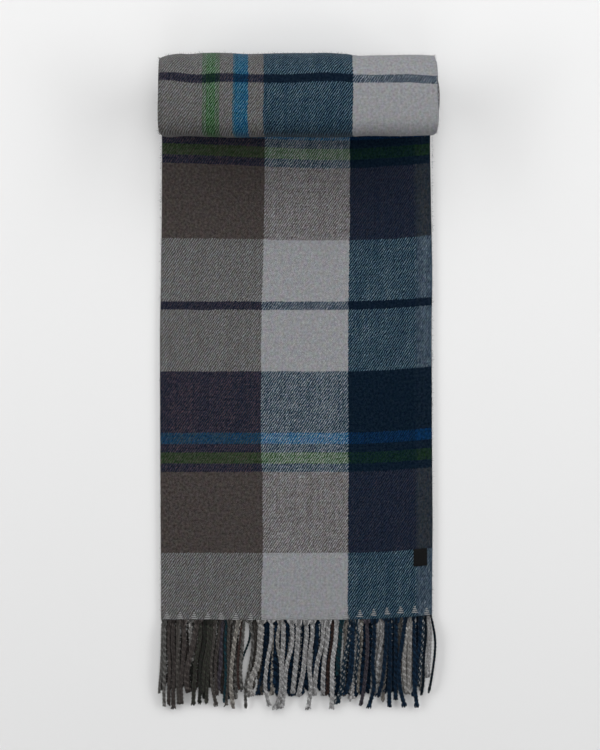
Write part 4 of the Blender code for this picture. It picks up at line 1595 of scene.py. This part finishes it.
def build_fibres(name, roots, heads, lint, seed):
    """Thin spikes, one from each root, each bent a little from its heading."""
    chance = np.random.default_rng(seed)
    count = len(roots)
    heads = heads + chance.normal(0, 0.45, (count, 3))
    heads = heads / np.linalg.norm(heads, axis=1, keepdims=True)
    bends = chance.normal(0, 0.30, (count, 3))
    lengths = np.clip(chance.exponential(FIBRE_MEAN, count) + FIBRE_SHORTEST, 0, FIBRE_LONGEST)[:, None]
    sides = np.cross(heads, chance.normal(0, 1, (count, 3)))
    sides = sides / np.linalg.norm(sides, axis=1, keepdims=True)
    others = np.cross(heads, sides)
    rings = []
    for share in (0.0, 0.5):
        centre = roots + lengths * (heads * share + bends * share**2)
        for turn in (0.0, 1 / 3, 2 / 3):
            out = sides * math.cos(math.tau * turn) + others * math.sin(math.tau * turn)
            rings.append(centre + out * FIBRE_GIRTH * (1 - share * 0.5))
    rings.append(roots + lengths * (heads + bends))
    points = np.stack(rings, 1)
    points[:, :, 2] = np.maximum(points[:, :, 2], LEAST_HEIGHT)
    faces = []
    for first in range(0, count * 7, 7):
        for corners in SPIKE_FACES:
            faces.append([first + corner for corner in corners])
    mesh = bpy.data.meshes.new(name)
    mesh.from_pydata(points.reshape(-1, 3).tolist(), [], faces)
    ends = [run.ends for run in lint]
    dyes = np.array([run.dye for run in lint])[np.searchsorted(ends, roots[:, 0])]
    colours = np.ones((count, 7, 4), np.float32)
    colours[:, :, :3] = (dyes * chance.uniform(0.6, 1.5, (count, 1)))[:, None]
    mesh.attributes.new("dye", "FLOAT_COLOR", "POINT").data.foreach_set("color", colours.ravel())
    mesh.materials.append(loose_wool)
    piece = put_down(name, mesh)
    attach(piece, "root")
    return piece


def edge_fibres():
    """Roots and headings along the fold and the selvedge of the flat stretch."""
    chance = np.random.default_rng(3)
    roots = []
    heads = []
    for edge_x, head_x, height in ((FOLD_X, -1.0, LAYER), (SELVEDGE_X, 1.0, LAYER + CLOTH / 2)):
        from_hem = chance.uniform(0.0, EDGE_REACH, EDGE_FIBRES)
        x = edge_x - head_x * 0.0004 + 0 * from_hem
        z = height + chance.normal(0, 0.0006, EDGE_FIBRES)
        roots.append(np.stack([x, HEM_Y + from_hem, z], -1))
        heads.append(np.tile([head_x, 0.0, 0.25], (EDGE_FIBRES, 1)))
    return np.concatenate(roots), np.concatenate(heads)


def roll_fibres():
    """Roots and headings over the far and near sides of the roll, and round its two ends."""
    chance = np.random.default_rng(4)
    roots = []
    heads = []
    for count, low_turn, high_turn, low_x, high_x, edge in (
        (1500, 0.18, 0.34, -0.176, 0.170, None),
        (360, 0.64, 0.76, -0.175, 0.169, None),
        (320, 0.27, 0.68, 0.0002, 0.0012, "fold_x"),
        (700, 0.27, 0.68, -0.0012, -0.0002, "selvedge_x"),
    ):
        turns = chance.uniform(low_turn, high_turn, count)
        x = chance.uniform(low_x, high_x, count)
        if edge:
            x = x + column(WRAP_ENDS, "turn", edge, turns)
        skin = np.array(
            [roll_point(turn, winding_radius(turn), np.array([at]))[0] for turn, at in zip(turns, x)]
        )
        angle = math.tau * turns - math.pi / 2
        out_x = 2.0 * np.sign(x) if edge else np.zeros(count)
        head = np.stack([out_x, np.cos(angle), np.sin(angle)], -1)
        roots.append(skin - head * 0.0003)
        heads.append(head)
    return np.concatenate(roots), np.concatenate(heads)


edge_lint = build_fibres("edge_lint", *edge_fibres(), FLAT_LINT, 5)
roll_lint = build_fibres("roll_lint", *roll_fibres(), ROLL_LINT_HIGHLIGHT, 6)


# ---------------------------------------------------------------------------
# The label
# A small tab of black woven tape, left bare. It is sewn flat on the front half, beside its
# selvedge and a little way up from the hem.
# ---------------------------------------------------------------------------

LABEL_WIDTH = 0.0176
LABEL_LENGTH = 0.0226
LABEL_THICK = 0.0008
LABEL_RIGHT_X = 0.1645
LABEL_FROM_HEM = 0.0649
LABEL_BLACK = (0.0032, 0.0032, 0.0037)


def make_label_tape():
    """Black satin-faced tape, with fine picks across it and fine ends along it."""
    finish, loom, shader = new_finish("label_tape")
    lie = loom.node("ShaderNodeUVMap", {"uv_map": "Weave"})
    across, along = loom.split(lie)
    pick = (along / 0.00042).wave()
    end = (across / 0.00036).wave()
    grain = loom.noise(lie, (700.0, 2600.0), 2.0)
    tone = 0.8 + pick * 0.10 + end * 0.06 + grain * 0.35
    height = pick * 0.5 + end * 0.3 + grain
    sockets = {
        "Base Color": loom.scaled(LABEL_BLACK, tone),
        "Normal": loom.bump(0.5, 0.00012, height),
        "Roughness": 0.60 + grain * 0.15,
        "Specular IOR Level": 0.12,
    }
    loom.fill(shader, sockets)
    return finish


def build_label():
    """A closed thin tab with round edges, following the cloth under it."""
    edge = np.array([0.0, 0.004, 0.012, 0.03])
    across_places = np.concatenate([edge, np.linspace(0.06, 0.94, 17), 1 - edge[::-1]])
    along_places = np.concatenate([edge, np.linspace(0.06, 0.94, 23), 1 - edge[::-1]])
    u, v = np.meshgrid(across_places, along_places)
    x = LABEL_RIGHT_X - LABEL_WIDTH * (1 - u)
    from_hem = LABEL_FROM_HEM + LABEL_LENGTH * v
    y = HEM_Y + from_hem + weft_bow(x, from_hem)
    under = LAYER + CLOTH + GAP * 0.3 + front_lift(x, from_hem)
    room = np.minimum(np.minimum(u, 1 - u) * LABEL_WIDTH, np.minimum(v, 1 - v) * LABEL_LENGTH)
    puff = 0.0003 * np.clip(room / 0.004, 0, 1) + 0.00012 * np.sin(v * 9.0) * np.clip(room / 0.003, 0, 1)
    half_thick = LABEL_THICK / 2
    depth = half_thick * np.sqrt(np.clip(1 - (1 - np.clip(room / half_thick, 0, 1)) ** 2, 0, 1))
    middle = under + half_thick + puff
    top = np.stack([x, y, middle + depth], -1)
    low = np.stack([x, y, middle - depth], -1)
    cut = np.stack([u * LABEL_WIDTH, v * LABEL_LENGTH], -1)
    return close_shell("label_tab", top, low, u, v, cut, 0.8, make_label_tape())


label_tab = build_label()
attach(label_tab, "root")
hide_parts("label")
